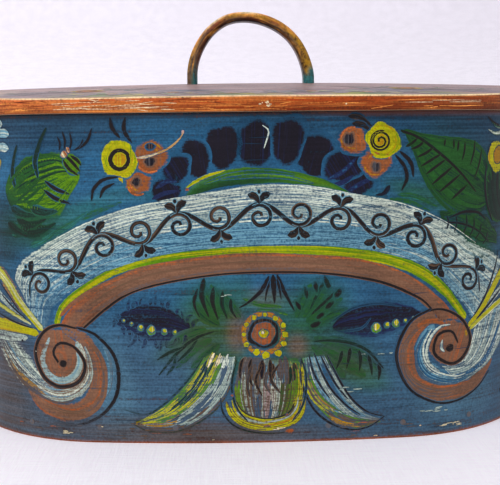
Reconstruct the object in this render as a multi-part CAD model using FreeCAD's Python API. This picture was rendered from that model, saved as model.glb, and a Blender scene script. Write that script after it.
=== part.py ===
"""Bentwood food box (tine) with a snap-on lid, in millimetres.

A thin wooden band is bent round an oval bottom board, lapped at the back and sewn with root.
Wooden pegs hold the bottom board. A tongue at each end of the board passes through the band
and through a springy upright post, which is held by one cross peg. The posts grip the rim of
the ridged lid in notches, and the lid carries a bent bow handle, locked by pegs below.

Frame: X along the box, -Y is the front, +Z up, origin on the ground in the middle of the box.
"""
import FreeCAD, Part
import math
import os

Vector = FreeCAD.Vector
UP = Vector(0, 0, 1)
ALONG_Y = Vector(0, 1, 0)
PAST = 1.0                 # cutting tools run this far past what they cut
TOUCH = 0.01               # closer than this counts as touching

# Box outline: an oval of two long side arcs and two end arcs, measured on the band's outer face
half_length = 244.5
half_width = 145.0
side_radius = 1070.0

# Side band
band_height = 253.0
band_thickness = 4.0
lap_length = 70.0          # length over which the two ends of the band overlap
lap_thickness = 2.6        # each end is thinned to this inside the lap
lap_gap = 0.2              # between the two thinned ends
lap_ramp = 18.0            # length over which an end is thinned
lap_end_gap = 1.0          # between an end's tip and the ramp beside it
tip_taper = 6.0            # the outer end's edge is pared down over this length
tip_thickness = 1.4

# Root stitches through the lap, in two rows
stitch_count = 12
stitch_row_shift = 17.0    # from the middle of the lap to the middle of each row
stitch_length = 14.0       # outside bar, leg to leg
root_thickness = 1.2
root_width = 5.0
root_clearance = 0.1
first_stitch_z = 25.0
last_stitch_depth = 21.0   # middle of the last stitch below the band's upper edge

# Bottom board
bottom_thickness = 13.0
bottom_recess = 6.0        # the board's underside above the band's lower edge
bottom_fit = 0.1
tongue_width = 22.0
tongue_thickness = 10.0
tongue_reach = 1.5         # past the post's outer face
tongue_fit = 0.3           # round the tongue in the band

# Bottom pegs, driven through the band into the edge of the board
bottom_peg_count = 22
bottom_peg_radius = 2.2
bottom_peg_length = 22.0
bottom_peg_proud = 0.3
peg_fit = 0.03

# End posts
post_thickness = 13.0
post_gap = 0.3             # between the post and the band
post_foot_z = 1.0
post_foot_relief = 1.0     # the inner face leans back below the peg, so the post can spring out
post_foot_width = 48.0
post_neck_width = 35.0     # at the lid
post_head_width = 31.0
post_head_height = 36.0    # top of the head above the lid's rim
post_head_flare = 6.0      # the head curls out this far beyond the outer face
post_head_tip = 8.0        # height of the curled head's rounded tip
post_head_crest = 9.0      # from the tip in to the head's highest line
post_back_hollow = 5.0     # depth of the curve that scoops the head's outer side
mortise_fit_side = 0.4
mortise_fit_height = 0.5   # room for the post to tilt on its tongue
post_peg_radius = 2.5
post_peg_proud = 1.0
post_peg_fit = 0.05

# Notch and lip that hold the lid
lip_overlap = 2.2          # the lip's reach over the lid's end
lid_gap = 0.3
ledge_gap = 0.3            # the notch's lower ledge below the lid
lip_gap = 0.5              # between the lid's top and the start of the lip
lip_height = 14.0          # height over which the lip grows to its full reach

# Lid
lid_rim = 11.7             # thickness at the long edges
ridge_rise = 16.3          # the ridge above the rim's top
ridge_round = 60.0
ridge_bow_radius = 6160.0  # the ridge falls this gently to the ends
lid_overhang = 5.0
ear_width = 80.0           # the lid's ears stand each side of a post
ear_corner = 6.0
slot_clearance = 0.5
rim_round = 1.3

# Bow handle
handle_shift = 4.8         # the bow sits a little right of the middle
handle_radius = 52.0       # of the bow's centreline, which ends in two straight legs
handle_rise = 57.2         # centreline above the ridge
handle_thickness = 9.0
handle_width = 20.0
handle_chamfer = 2.6
handle_fit = 0.1
leg_tail = 13.0            # the legs end this far below the lid
handle_peg_radius = 2.5
handle_peg_length = 32.0
handle_peg_fit = 0.05

# Worked out from the sizes above
end_radius = (2 * half_width * side_radius - half_length ** 2 - half_width ** 2) \
    / (2 * (side_radius - half_length))
side_centre = side_radius - half_width        # side arc's centre, across the box
end_centre = half_length - end_radius         # end arc's centre, along the box
meet_angle = math.atan2(side_centre, end_centre)
inner_face = -band_thickness
under_lap_outer = inner_face + lap_thickness
over_lap_inner = under_lap_outer + lap_gap
over_lap_outer = over_lap_inner + lap_thickness
lap_half = lap_length / 2
bottom_top = bottom_recess + bottom_thickness
peg_z = bottom_recess + bottom_thickness / 2
post_inner = half_length + post_gap
post_outer = post_inner + post_thickness
slot_floor = post_inner + lip_overlap
notch_face = slot_floor + lid_gap
ridge_z = band_height + lid_rim + ridge_rise
lid_half_width = half_width + lid_overhang
ridge_angle = math.atan(ridge_rise / lid_half_width)
ridge_slope = (ridge_rise + ridge_round * (1 / math.cos(ridge_angle) - 1)) / lid_half_width
slot_half = post_neck_width / 2 + slot_clearance


def ridge_height(x):
    """Height of the lid's ridge above the ground, at x."""
    return ridge_z - ridge_bow_radius + math.sqrt(ridge_bow_radius ** 2 - x ** 2)


lip_start = ridge_height(slot_floor) + lip_gap
lip_full = lip_start + lip_height
post_top = lip_start - lip_gap + post_head_height


def polar(centre, radius, angle, z=0.0):
    return Vector(centre.x + radius * math.cos(angle), centre.y + radius * math.sin(angle), z)


def arc(centre, radius, start, end):
    """Arc in plan from one angle to another, either way round."""
    points = [polar(centre, radius, a) for a in (start, (start + end) / 2, end)]
    return Part.Arc(*points).toShape()


def line(a, b):
    return Part.LineSegment(a, b).toShape()


def curve(a, b, bulge):
    """Arc in a plane across Y that bulges to the left of the way from a to b, seen from -Y."""
    along = (b - a).normalize()
    middle = (a + b) * 0.5 + Vector(-along.z, 0, along.x) * bulge
    return Part.Arc(a, middle, b).toShape()


BACK = Vector(0, -side_centre, 0)     # centre of the back side's arc
FRONT = Vector(0, side_centre, 0)
RIGHT = Vector(end_centre, 0, 0)
LEFT = Vector(-end_centre, 0, 0)


def way_round(offset):
    """The oval from the back's right end round the front to the back's left end, clockwise."""
    side = side_radius + offset
    end = end_radius + offset
    return [arc(RIGHT, end, meet_angle, -meet_angle),
            arc(FRONT, side, -meet_angle, meet_angle - math.pi),
            arc(LEFT, end, meet_angle - math.pi, -math.pi - meet_angle)], side


def oval(offset):
    """Closed outline, offset outwards from the band's outer face."""
    edges, side = way_round(offset)
    edges.append(arc(BACK, side, math.pi - meet_angle, meet_angle))
    return Part.Wire(edges)


def slab(wire, z0, z1):
    """Solid between two heights with this outline."""
    solid = Part.Face(wire).extrude(UP * (z1 - z0))
    solid.translate(UP * z0)
    return solid


def lap_angle(u):
    """Angle on the back arc of a place u mm to the right of the seam's middle."""
    return math.pi / 2 - u / side_radius


def lap_point(u, offset):
    return polar(BACK, side_radius + offset, lap_angle(u))


def lap_arc(u0, u1, offset):
    return arc(BACK, side_radius + offset, lap_angle(u0), lap_angle(u1))


def block(x, y, z):
    """Box from (low, high) pairs."""
    return Part.makeBox(x[1] - x[0], y[1] - y[0], z[1] - z[0], Vector(x[0], y[0], z[0]))


def rod(radius, start, direction, length):
    return Part.makeCylinder(radius, length, start, direction)


def mirrored(shape):
    """The same piece at the left end."""
    return shape.mirror(Vector(0, 0, 0), Vector(1, 0, 0))


def perimeter_arcs():
    """(centre, radius, start angle, end angle) of the outer face's arcs, from the right end."""
    turn, half_turn = meet_angle, math.pi
    return [(RIGHT, end_radius, 0, turn),
            (BACK, side_radius, turn, half_turn - turn),
            (LEFT, end_radius, half_turn - turn, half_turn + turn),
            (FRONT, side_radius, half_turn + turn, 2 * half_turn - turn),
            (RIGHT, end_radius, -turn, 0)]


def perimeter_point(s):
    """Point and outward normal on the outer face, s mm anticlockwise from the right end."""
    for centre, radius, start, end in perimeter_arcs():
        length = radius * (end - start)
        if s <= length:
            break
        s -= length
    angle = start + s / radius
    return polar(centre, radius, angle), polar(Vector(0, 0, 0), 1, angle)


perimeter = sum(radius * (end - start) for _, radius, start, end in perimeter_arcs())


def stitch_places():
    """(row's u, height) of each stitch in one row after the other."""
    step = (band_height - last_stitch_depth - first_stitch_z) / (stitch_count - 1)
    rows = {"stitches_outer_end": stitch_row_shift, "stitches_inner_end": -stitch_row_shift}
    return {name: [(u, first_stitch_z + step * i) for i in range(stitch_count)]
            for name, u in rows.items()}


def stitch_frame(shape, u, z):
    """Moves a shape drawn about the outer face, x to the right and y outwards, to the lap."""
    shape.rotate(Vector(0, 0, 0), UP, math.degrees(-u / side_radius))
    shape.translate(lap_point(u, 0) + UP * z)
    return shape


def root_loop():
    """One stitch: an outside bar, an inside bar and two legs."""
    half = stitch_length / 2
    outside = over_lap_outer + root_clearance
    inside = inner_face - root_clearance
    outer_x = half + root_thickness
    height = (-root_width / 2, root_width / 2)
    ring = block((-outer_x, outer_x), (inside - root_thickness, outside + root_thickness), height)
    return ring.cut(block((-half, half), (inside, outside), height))


def root_slits():
    """The two slits that a stitch's legs pass through."""
    half = stitch_length / 2
    leg = (half - root_clearance, half + root_thickness + root_clearance)
    depth = (inner_face - PAST, over_lap_outer + PAST)
    height = (-root_width / 2 - root_clearance, root_width / 2 + root_clearance)
    return [block(leg, depth, height), block((-leg[1], -leg[0]), depth, height)]


def bottom_pegs(extra=0.0, inward=0.0):
    """Pegs driven square to the band, or the holes for them."""
    pegs = []
    seam_s = perimeter / 4
    for i in range(bottom_peg_count):
        s = (i + 0.5) * perimeter / bottom_peg_count
        point, normal = perimeter_point(s)
        face = over_lap_outer if abs(s - seam_s) < lap_half else 0.0
        start = point + normal * (face + bottom_peg_proud) + UP * peg_z
        length = bottom_peg_length + face + inward
        pegs.append(rod(bottom_peg_radius + extra, start, normal * -1, length))
    return pegs


def tongue(grow_y, grow_z, x0, x1):
    """Box of the right-hand tongue's section, grown for a clearance."""
    y = tongue_width / 2 + grow_y
    z = tongue_thickness / 2 + grow_z
    return block((x0, x1), (-y, y), (peg_z - z, peg_z + z))


def side_band():
    round_inside, _ = way_round(inner_face)
    round_outside, _ = way_round(0)
    left_ramp = -lap_half - lap_ramp
    left_step = -lap_half - lap_end_gap
    right_ramp = lap_half + lap_ramp
    right_step = lap_half + lap_end_gap
    right_u = (math.pi / 2 - meet_angle) * side_radius
    edges = [lap_arc(-lap_half, right_u, inner_face)]
    edges += round_inside
    edges += [lap_arc(-right_u, left_ramp, inner_face),
              line(lap_point(left_ramp, inner_face), lap_point(left_step, over_lap_inner)),
              lap_arc(left_step, lap_half, over_lap_inner),
              line(lap_point(lap_half, over_lap_inner),
                   lap_point(lap_half, over_lap_inner + tip_thickness)),
              line(lap_point(lap_half, over_lap_inner + tip_thickness),
                   lap_point(lap_half - tip_taper, over_lap_outer)),
              lap_arc(lap_half - tip_taper, left_step, over_lap_outer),
              line(lap_point(left_step, over_lap_outer), lap_point(left_ramp, 0)),
              lap_arc(left_ramp, -right_u, 0)]
    edges += round_outside[::-1]
    edges += [lap_arc(right_u, right_ramp, 0),
              line(lap_point(right_ramp, 0), lap_point(right_step, under_lap_outer)),
              lap_arc(right_step, -lap_half, under_lap_outer),
              line(lap_point(-lap_half, under_lap_outer), lap_point(-lap_half, inner_face))]
    band = slab(Part.Wire(Part.__sortEdges__(edges)), 0, band_height)
    slot = tongue(tongue_fit, tongue_fit, end_centre, post_outer)
    cutters = [slot, mirrored(slot)] + bottom_pegs(extra=peg_fit)
    for places in stitch_places().values():
        for u, z in places:
            cutters += [stitch_frame(slit, u, z) for slit in root_slits()]
    return band.cut(cutters)


def bottom_board():
    board = slab(oval(inner_face - bottom_fit), bottom_recess, bottom_top)
    tongue_end = post_outer + tongue_reach
    right = tongue(0, 0, end_centre, tongue_end)
    board = board.fuse([right, mirrored(right)]).removeSplitter()
    return board.cut(bottom_pegs(extra=peg_fit, inward=peg_fit) + post_pegs(peg_fit))


def post_pegs(extra=0.0):
    """The two cross pegs, or the holes for them."""
    half = post_foot_width / 2 + post_peg_proud
    x = (post_inner + post_outer) / 2
    return [rod(post_peg_radius + extra, Vector(side * x, -half, peg_z), ALONG_Y, 2 * half)
            for side in (1, -1)]


def post_side_view():
    """The right post seen from the front: foot relief, notch, lip and curled head."""
    def at(x, z):
        return Vector(x, 0, z)

    head_z = (lip_full + post_top) / 2
    flare_x = post_outer + post_head_flare
    crest_x = flare_x - post_head_crest
    tip_z = post_top - post_head_tip
    corners = [at(post_outer, post_foot_z), at(post_inner + post_foot_relief, post_foot_z),
               at(post_inner, peg_z), at(post_inner, band_height - ledge_gap),
               at(notch_face, band_height - ledge_gap), at(notch_face, lip_start),
               at(post_inner, lip_full), at(post_inner, head_z)]
    edges = [line(a, b) for a, b in zip(corners, corners[1:])]
    crest = at(crest_x, post_top)
    tip = at(flare_x, tip_z)
    hollow_end = at(post_outer, lip_start)
    edges += [curve(corners[-1], crest, (post_top - head_z) / 4),
              curve(crest, tip, post_head_tip / 3),
              curve(tip, hollow_end, -post_back_hollow),
              line(hollow_end, corners[0])]
    return Part.Wire(edges)


def post_front_view():
    """The right post seen from the right end: it narrows to the lid and has a round head."""
    foot, neck, head = (w / 2 for w in (post_foot_width, post_neck_width, post_head_width))
    shoulder_z = post_top - head

    def at(y, z):
        return Vector(0, y, z)

    return Part.Wire([line(at(-foot, post_foot_z), at(foot, post_foot_z)),
                      line(at(foot, post_foot_z), at(neck, band_height)),
                      line(at(neck, band_height), at(head, shoulder_z)),
                      Part.Arc(at(head, shoulder_z), at(0, post_top), at(-head, shoulder_z)).toShape(),
                      line(at(-head, shoulder_z), at(-neck, band_height)),
                      line(at(-neck, band_height), at(-foot, post_foot_z))])


def post():
    profile = Part.Face(post_side_view()).extrude(ALONG_Y * post_foot_width)
    profile.translate(ALONG_Y * (-post_foot_width / 2))
    reach = post_outer + post_head_flare + PAST
    outline = Part.Face(post_front_view()).extrude(Vector(reach, 0, 0))
    blank = profile.common(outline)
    mortise = tongue(mortise_fit_side, mortise_fit_height, post_inner - PAST, reach)
    return blank.cut([mortise, post_pegs(post_peg_fit)[0]])


def lid_outline():
    """Oval rim with an ear at each end."""
    plate = slab(oval(lid_overhang), band_height, ridge_z + PAST)
    half = ear_width / 2
    ear = block((end_centre, post_outer), (-half, half), (band_height, ridge_z + PAST))
    corners = [e for e in ear.Edges if abs(e.CenterOfMass.x - post_outer) < TOUCH
               and abs(abs(e.CenterOfMass.y) - half) < TOUCH]
    ear = ear.makeFillet(ear_corner, corners)
    return plate.fuse([ear, mirrored(ear)]).removeSplitter()


def ridged_top():
    """Everything below the lid's two slopes: their section turned about a far-off axis."""
    reach = lid_half_width + PAST
    slope_angle = math.atan(ridge_slope)
    tangent_y = ridge_round * math.sin(slope_angle)
    tangent_z = ridge_z - ridge_round * (1 - math.cos(slope_angle))
    edge_z = tangent_z - (reach - tangent_y) * ridge_slope

    def at(y, z):
        return Vector(0, y, z)

    section = Part.Wire([line(at(-reach, 0), at(-reach, edge_z)),
                         line(at(-reach, edge_z), at(-tangent_y, tangent_z)),
                         Part.Arc(at(-tangent_y, tangent_z), at(0, ridge_z),
                                  at(tangent_y, tangent_z)).toShape(),
                         line(at(tangent_y, tangent_z), at(reach, edge_z)),
                         line(at(reach, edge_z), at(reach, 0)),
                         line(at(reach, 0), at(-reach, 0))])
    face = Part.Face(section)
    swing = math.degrees(math.asin((post_outer + PAST) / (ridge_bow_radius - ridge_z)))
    axis_point = Vector(0, 0, ridge_z - ridge_bow_radius)
    face.rotate(axis_point, ALONG_Y, -swing)
    return face.revolve(axis_point, ALONG_Y, 2 * swing)


def rim_edges(lid, outline):
    """The lid's upper edges that follow its outline."""
    rim = min(outline.Faces, key=lambda face: face.CenterOfMass.z).OuterWire
    edges = []
    for edge in lid.Edges:
        middle = edge.valueAt((edge.FirstParameter + edge.LastParameter) / 2)
        below = Part.Vertex(middle.x, middle.y, band_height)
        if edge.BoundBox.ZMin > band_height + rim_round and rim.distToShape(below)[0] < TOUCH:
            edges.append(edge)
    return edges


def lid_board():
    outline = lid_outline()
    lid = outline.common(ridged_top())
    through = (band_height - PAST, ridge_z + PAST)
    slot = block((slot_floor, post_outer + PAST), (-slot_half, slot_half), through)
    legs = [handle_leg(x, handle_fit, *through) for x in leg_places()]
    lid = lid.cut([slot, mirrored(slot)] + legs)
    return lid.makeFillet(rim_round, rim_edges(lid, outline))


def leg_places():
    return (handle_shift - handle_radius, handle_shift + handle_radius)


def handle_section(grow=0.0):
    """Eight-sided section of the bow, x through its thickness and y across it."""
    x = handle_thickness / 2 + grow
    y = handle_width / 2 + grow
    corner = handle_chamfer
    points = [(x, y - corner), (x - corner, y), (corner - x, y), (-x, y - corner),
              (-x, corner - y), (corner - x, -y), (x - corner, -y), (x, corner - y)]
    ring = [Vector(px, py, 0) for px, py in points]
    return Part.Face(Part.makePolygon(ring + ring[:1]))


def handle_leg(x, grow, z0, z1):
    leg = handle_section(grow).extrude(UP * (z1 - z0))
    leg.translate(Vector(x, 0, z0))
    return leg


def handle_bow():
    spring_z = ridge_z + handle_rise - handle_radius
    left, right = leg_places()
    low = band_height - leg_tail
    section = handle_section()
    section.translate(Vector(right, 0, spring_z))
    bow = section.revolve(Vector(handle_shift, 0, spring_z), ALONG_Y, -180)
    legs = [handle_leg(x, 0, low, spring_z) for x in (left, right)]
    return bow.fuse(legs).removeSplitter().cut(handle_pegs(handle_peg_fit))


def handle_pegs(extra=0.0):
    """Pegs through the legs, up against the lid's underside, or the holes for them."""
    z = band_height - handle_peg_radius - handle_peg_fit
    half = handle_peg_length / 2
    return [rod(handle_peg_radius + extra, Vector(x, -half, z), ALONG_Y, 2 * half)
            for x in leg_places()]


def save(name, shape):
    shape.exportStep("parts/" + name + ".step")


def stitch_row(places):
    return Part.Compound([stitch_frame(root_loop(), u, z) for u, z in places])


os.makedirs("parts", exist_ok=True)
save("side_band", side_band())
save("bottom_board", bottom_board())
save("bottom_pegs", Part.Compound(bottom_pegs()))
for row_name, row_places in stitch_places().items():
    save(row_name, stitch_row(row_places))
right_post = post()
save("post_right", right_post)
save("post_left", mirrored(right_post))
peg_right, peg_left = post_pegs()
save("post_peg_right", peg_right)
save("post_peg_left", peg_left)
save("lid_board", lid_board())
save("handle_bow", handle_bow())
handle_peg_left, handle_peg_right = handle_pegs()
save("handle_peg_left", handle_peg_left)
save("handle_peg_right", handle_peg_right)
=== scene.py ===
"""Norwegian tine: a painted bentwood food box with a ridged lid and a bow handle.

Every shape is worked out in millimetres, in the box's own frame: X along the box, -Y is the
front, +Z up, and the origin lies on the ground in the middle. Meshes are stored in metres.
"""

import bpy
import numpy as np
from mathutils import Matrix, Vector


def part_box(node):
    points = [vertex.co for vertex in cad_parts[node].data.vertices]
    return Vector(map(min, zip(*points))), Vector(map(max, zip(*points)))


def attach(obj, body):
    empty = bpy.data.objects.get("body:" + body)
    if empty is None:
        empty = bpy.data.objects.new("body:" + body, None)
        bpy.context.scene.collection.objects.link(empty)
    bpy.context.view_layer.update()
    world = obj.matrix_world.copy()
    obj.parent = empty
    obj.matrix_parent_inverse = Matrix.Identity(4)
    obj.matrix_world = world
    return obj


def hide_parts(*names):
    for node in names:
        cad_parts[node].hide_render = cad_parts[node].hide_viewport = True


bl_info = {
    "name": "Norwegian tine box",
    "version": (1, 0, 0),
    "blender": (4, 5, 0),
    "location": "3D View > Sidebar > Tine",
    "description": "A bentwood food box with a rose-painted band, a ridged lid and a bow handle",
    "category": "Object",
}

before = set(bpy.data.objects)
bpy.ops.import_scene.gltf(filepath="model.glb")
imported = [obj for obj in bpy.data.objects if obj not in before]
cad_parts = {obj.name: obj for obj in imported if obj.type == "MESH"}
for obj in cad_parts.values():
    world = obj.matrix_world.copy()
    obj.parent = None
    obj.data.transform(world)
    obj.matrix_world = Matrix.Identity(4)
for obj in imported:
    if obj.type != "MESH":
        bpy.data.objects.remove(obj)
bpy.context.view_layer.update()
BAND_LOW, BAND_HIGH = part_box("side_band")
LID_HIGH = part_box("lid_board")[1]
POST_LOW, POST_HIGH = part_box("post_right")
BOW_LOW, BOW_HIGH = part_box("handle_bow")

MM = 0.001
UV_SCALE = 100.0            # the brush map counts in hundreds of millimetres


# ---------------------------------------------------------------- settings

def length(name, text, default):
    """A size that a user may change, in metres."""
    return bpy.props.FloatProperty(name=name, description=text, default=round(default, 6),
                                   min=0.0, unit="LENGTH", subtype="DISTANCE")


def tint(name, text, red, green, blue):
    """A paint colour, written as it looks on a screen, 0 to 255."""
    return bpy.props.FloatVectorProperty(name=name, description=text, subtype="COLOR_GAMMA",
                                         size=3, min=0.0, max=1.0,
                                         default=(red / 255, green / 255, blue / 255))


def angle(name, text, default):
    """An angle that a user may change, in radians."""
    return bpy.props.FloatProperty(name=name, description=text, default=default,
                                   unit="ROTATION", subtype="ANGLE")


def strength(name, text, default):
    """How strong a light is, 0 or more."""
    return bpy.props.FloatProperty(name=name, description=text, default=default, min=0.0)


class TineSizes(bpy.types.PropertyGroup):
    """Sizes of the wooden pieces."""

    half_length: length("Half length", "Middle of the box to the band's end", BAND_HIGH.x)
    half_width: length("Half width", "Middle of the box to the band's front", -BAND_LOW.y)
    side_radius: length("Side radius", "Radius of the long side arcs", 1.070)
    band_height: length("Band height", "Height of the bent side", BAND_HIGH.z)
    band_thickness: length("Band thickness", "Thickness of the bent side", 0.004)
    lap_half: length("Half lap", "Half the overlap of the band's ends", 0.035)
    lap_ramp: length("Lap ramp", "Length over which a band end is thinned", 0.018)
    lid_top: length("Lid ridge", "Height of the lid's ridge above the ground", LID_HIGH.z)
    lid_rim: length("Lid rim", "Thickness of the lid at its long edges", 0.0117)
    lid_overhang: length("Lid overhang", "How far the lid stands past the band", 0.005)
    ear_reach: length("Ear reach", "Middle of the box to the lid's ears", LID_HIGH.x)
    ridge_bow: length("Ridge bow", "Radius of the ridge's gentle fall to the ends", 6.160)
    post_width: length("Post foot", "Width of an end post at its foot", POST_HIGH.y - POST_LOW.y)
    post_top: length("Post top", "Height of the end posts", POST_HIGH.z)
    bow_radius: length("Bow radius", "Radius of the handle's middle line", 0.052)
    bow_shift: length("Bow shift", "Middle of the handle right of the box's middle", 0.0048)
    bow_width: length("Bow width", "Width of the handle across the lid", BOW_HIGH.y - BOW_LOW.y)
    bow_thickness: length("Bow thickness", "Thickness of the bent handle", 0.009)


class TinePalette(bpy.types.PropertyGroup):
    """Paints and woods."""

    blue: tint("Ground blue", "Main colour of the band", 34, 86, 120)
    # Deep blue is also laid on the ground as painted shade: darker to the right and under the lid
    deep_blue: tint("Deep blue", "Ground where it has darkened", 18, 44, 66)
    slate: tint("Slate", "Ground near the foot", 64, 84, 102)
    light_blue: tint("Light blue", "Blue under the pale strokes", 99, 144, 161)
    smoke: tint("Smoke", "Greasy dark grey near the foot", 74, 72, 75)
    # Ink is also laid as painted shade: the strip under the lid, the band's top edge and the bow's
    # inner edge
    ink: tint("Ink", "Near black outline paint", 24, 20, 21)
    plum: tint("Plum black", "Dark petals", 20, 17, 27)
    violet: tint("Violet", "Bluish dark petals", 24, 34, 70)
    chalk: tint("Chalk", "Off-white strokes", 190, 199, 182)
    pearl: tint("Pearl", "Greyed white strokes", 150, 165, 154)
    cream: tint("Cream", "Warm white", 222, 206, 164)
    yellow: tint("Yellow", "Bright ochre yellow", 166, 162, 0)
    mustard: tint("Mustard", "Deeper yellow", 160, 116, 6)
    lime: tint("Lime", "Yellow-green", 80, 123, 3)
    leaf: tint("Leaf green", "Leaves", 30, 78, 30)
    pine: tint("Pine green", "Dark leaves", 15, 42, 32)
    teal: tint("Teal", "Blue-green", 36, 98, 100)
    russet: tint("Russet", "Red-brown of the scroll", 116, 82, 62)
    rust: tint("Rust", "Orange-brown", 150, 76, 34)
    umber: tint("Umber", "Dull brown", 92, 70, 52)
    orange: tint("Orange", "Blossom lobes", 138, 77, 38)
    rim_brown: tint("Rim brown", "Lid edge", 160, 62, 14)
    # On the lid's edge, rim pink is its lit left end: painted light
    rim_pink: tint("Rim pink", "Chalky pink on the lid edge", 186, 100, 52)
    lid_grey: tint("Lid grey", "Worn paint on the lid's top", 156, 136, 136)
    oxblood: tint("Oxblood", "Dark red-brown", 84, 40, 20)
    bare: tint("Bare wood", "Aged bare softwood", 180, 142, 96)
    bare_dark: tint("Dark bare wood", "Grain lines of bare softwood", 124, 88, 52)
    # Tan on the bow's outer edge and the lid's top edge is wear with a painted highlight
    tan: tint("Tan", "Rubbed handle edge", 226, 150, 72)
    root: tint("Root", "Split root", 104, 72, 42)
    peg: tint("Peg", "Whittled peg ends", 186, 154, 108)


class TineStage(bpy.types.PropertyGroup):
    """Camera, lamps and backdrop."""

    camera_place: bpy.props.FloatVectorProperty(
        name="Camera place", description="Where the camera stands", size=3,
        subtype="TRANSLATION", unit="LENGTH", default=(-0.01293, -0.8267, 0.23876))
    yaw: angle("Yaw", "Turn to the right", 0.0188)
    pitch: angle("Pitch", "Tilt below level", 0.1212)
    roll: angle("Roll", "Turn about the view", -0.0108)
    lens: bpy.props.FloatProperty(name="Lens", description="Focal length", default=65.89,
                                  unit="CAMERA", subtype="NONE")
    sky: strength("Sky", "Strength of the even light", 0.74)
    key_power: strength("Key lamp", "Power in watts", 19.0)
    fill_power: strength("Fill lamp", "Power in watts", 3.0)
    wall_power: strength("Wall lamp", "Power in watts", 4.5)
    cloth: tint("Cloth", "Pale floor and backdrop", 247, 242, 250)


def linear(colour):
    """Scene-linear value of a colour written for the screen: the sRGB curve undone."""
    colour = np.asarray(colour, float)
    return np.where(colour <= 0.04045, colour / 12.92, ((colour + 0.055) / 1.055) ** 2.4)


def laid(below, above, share):
    """The colour below with this share of the colour above laid over it."""
    return below * (1 - share) + above * share


def ramp(value, start, end):
    """0 up to the start, 1 from the end on, and even between; start may be the larger one."""
    return np.clip((value - start) / (end - start), 0, 1)


def mm(value):
    """A length in metres, in millimetres."""
    return value / MM


class Paints:
    """Paint colours by name, as scene-linear arrays."""

    def __init__(self, palette):
        self.palette = palette

    def __call__(self, name):
        return linear(tuple(getattr(self.palette, name)))

    def table(self, names):
        """Colours for one name, a row of names or a table of names."""
        if isinstance(names, str):
            return self(names)
        return np.array([self.table(n) for n in names])

    def mix(self, first, second, share):
        """Colour this share of the way from the first to the second."""
        return laid(self(first), self(second), share)


# ---------------------------------------------------------------- curves and meshes

def run_of(path):
    """Distance run along a path at each of its points."""
    return np.concatenate([[0], np.cumsum(np.linalg.norm(np.diff(path, axis=0), axis=1))])


def along_way(path):
    """Unit direction at each point of a path."""
    way = np.gradient(path, axis=0)
    return way / (np.linalg.norm(way, axis=1)[:, None] + 1e-9)


def left_of(way):
    """Unit directions turned a quarter to the left."""
    return np.stack([-way[:, 1], way[:, 0]], 1)


def columns_at(at, known, table):
    """Every column of a table, read off at these places along the known ones."""
    return np.stack([np.interp(at, known, column) for column in table.T], 1)


def resample(path, share):
    """Points of a path at shares of its point count, 0 to 1."""
    return columns_at(share, np.linspace(0, 1, len(path)), path)


def smooth_path(points, step):
    """Points spaced evenly along the curve that passes through the given points.

    Between two points the curve is the cubic whose slope at each point is half the way from
    the point before to the point after.
    """
    points = np.asarray(points, float)
    if len(points) == 2:
        dense = points[:1] + (points[1:] - points[:1]) * np.linspace(0, 1, 9)[:, None]
    else:
        ends = np.vstack([2 * points[0] - points[1], points, 2 * points[-1] - points[-2]])
        a, b, c, d = (ends[k:len(ends) - 3 + k, None] for k in range(4))
        t = np.linspace(0, 1, 17)[None, :-1, None]
        curve = 0.5 * (2 * b + (c - a) * t + (2 * a - 5 * b + 4 * c - d) * t ** 2
                       + (3 * b - a - 3 * c + d) * t ** 3)
        dense = np.vstack([curve.reshape(-1, points.shape[1]), points[-1:]])
    run = run_of(dense)
    count = max(int(np.ceil(run[-1] / step)), 3) + 1
    return columns_at(np.linspace(0, run[-1], count), run, dense)


def spread(values, along, across, size):
    """Values over a grid, from one value, a row along it or a table along by across it.

    along and across run from 0 to 1; between the table's entries the value changes evenly.
    size is how many numbers one value has, 0 for a plain number.
    """
    table = np.asarray(values, float)
    if size and table.ndim == 1:
        table = table[None, None, :]
    elif size and table.ndim == 2:
        table = table[:, None, :]
    elif not size:
        table = np.atleast_1d(table)
        table = table[:, None] if table.ndim == 1 else table
        table = table[..., None]
    rows, columns = table.shape[:2]
    u = np.asarray(along)[:, None] * (rows - 1) + np.zeros((1, len(across)))
    v = np.asarray(across)[None, :] * (columns - 1) + np.zeros((len(along), 1))
    i = np.clip(u.astype(int), 0, max(rows - 2, 0))
    j = np.clip(v.astype(int), 0, max(columns - 2, 0))
    i2 = np.minimum(i + 1, rows - 1)
    j2 = np.minimum(j + 1, columns - 1)
    fu = (u - i)[..., None]
    fv = (v - j)[..., None]
    grid = ((table[i, j] * (1 - fu) + table[i2, j] * fu) * (1 - fv)
            + (table[i, j2] * (1 - fu) + table[i2, j2] * fu) * fv)
    return grid if size else grid[..., 0]


def grid_faces(rows, columns, closed=False):
    """Four-cornered faces of a grid of rows by columns, joined round when closed."""
    i = np.arange(rows - 1)[:, None]
    j = np.arange(columns if closed else columns - 1)[None, :]
    k = (j + 1) % columns
    corners = [i * columns + j, i * columns + k, (i + 1) * columns + k, (i + 1) * columns + j]
    shape = (rows - 1, j.shape[1])
    return np.stack([np.broadcast_to(c, shape) for c in corners], -1).reshape(-1, 4)


def coats_of(paint, thin, streak, cover, under):
    """The three colour layers that the paint shader reads, four numbers a point.

    The paint's fourth number is how thin it lies, the streak's how much of it there is.
    """
    count = max(len(np.atleast_2d(v)) for v in (paint, streak, under))

    def layer(colour, share):
        colour = np.broadcast_to(np.atleast_2d(colour), (count, 3))
        share = np.broadcast_to(np.asarray(share, float).reshape(-1, 1), (count, 1))
        return np.concatenate([colour, share], 1)

    return layer(paint, thin), layer(streak, cover), layer(under, 1.0)


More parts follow.
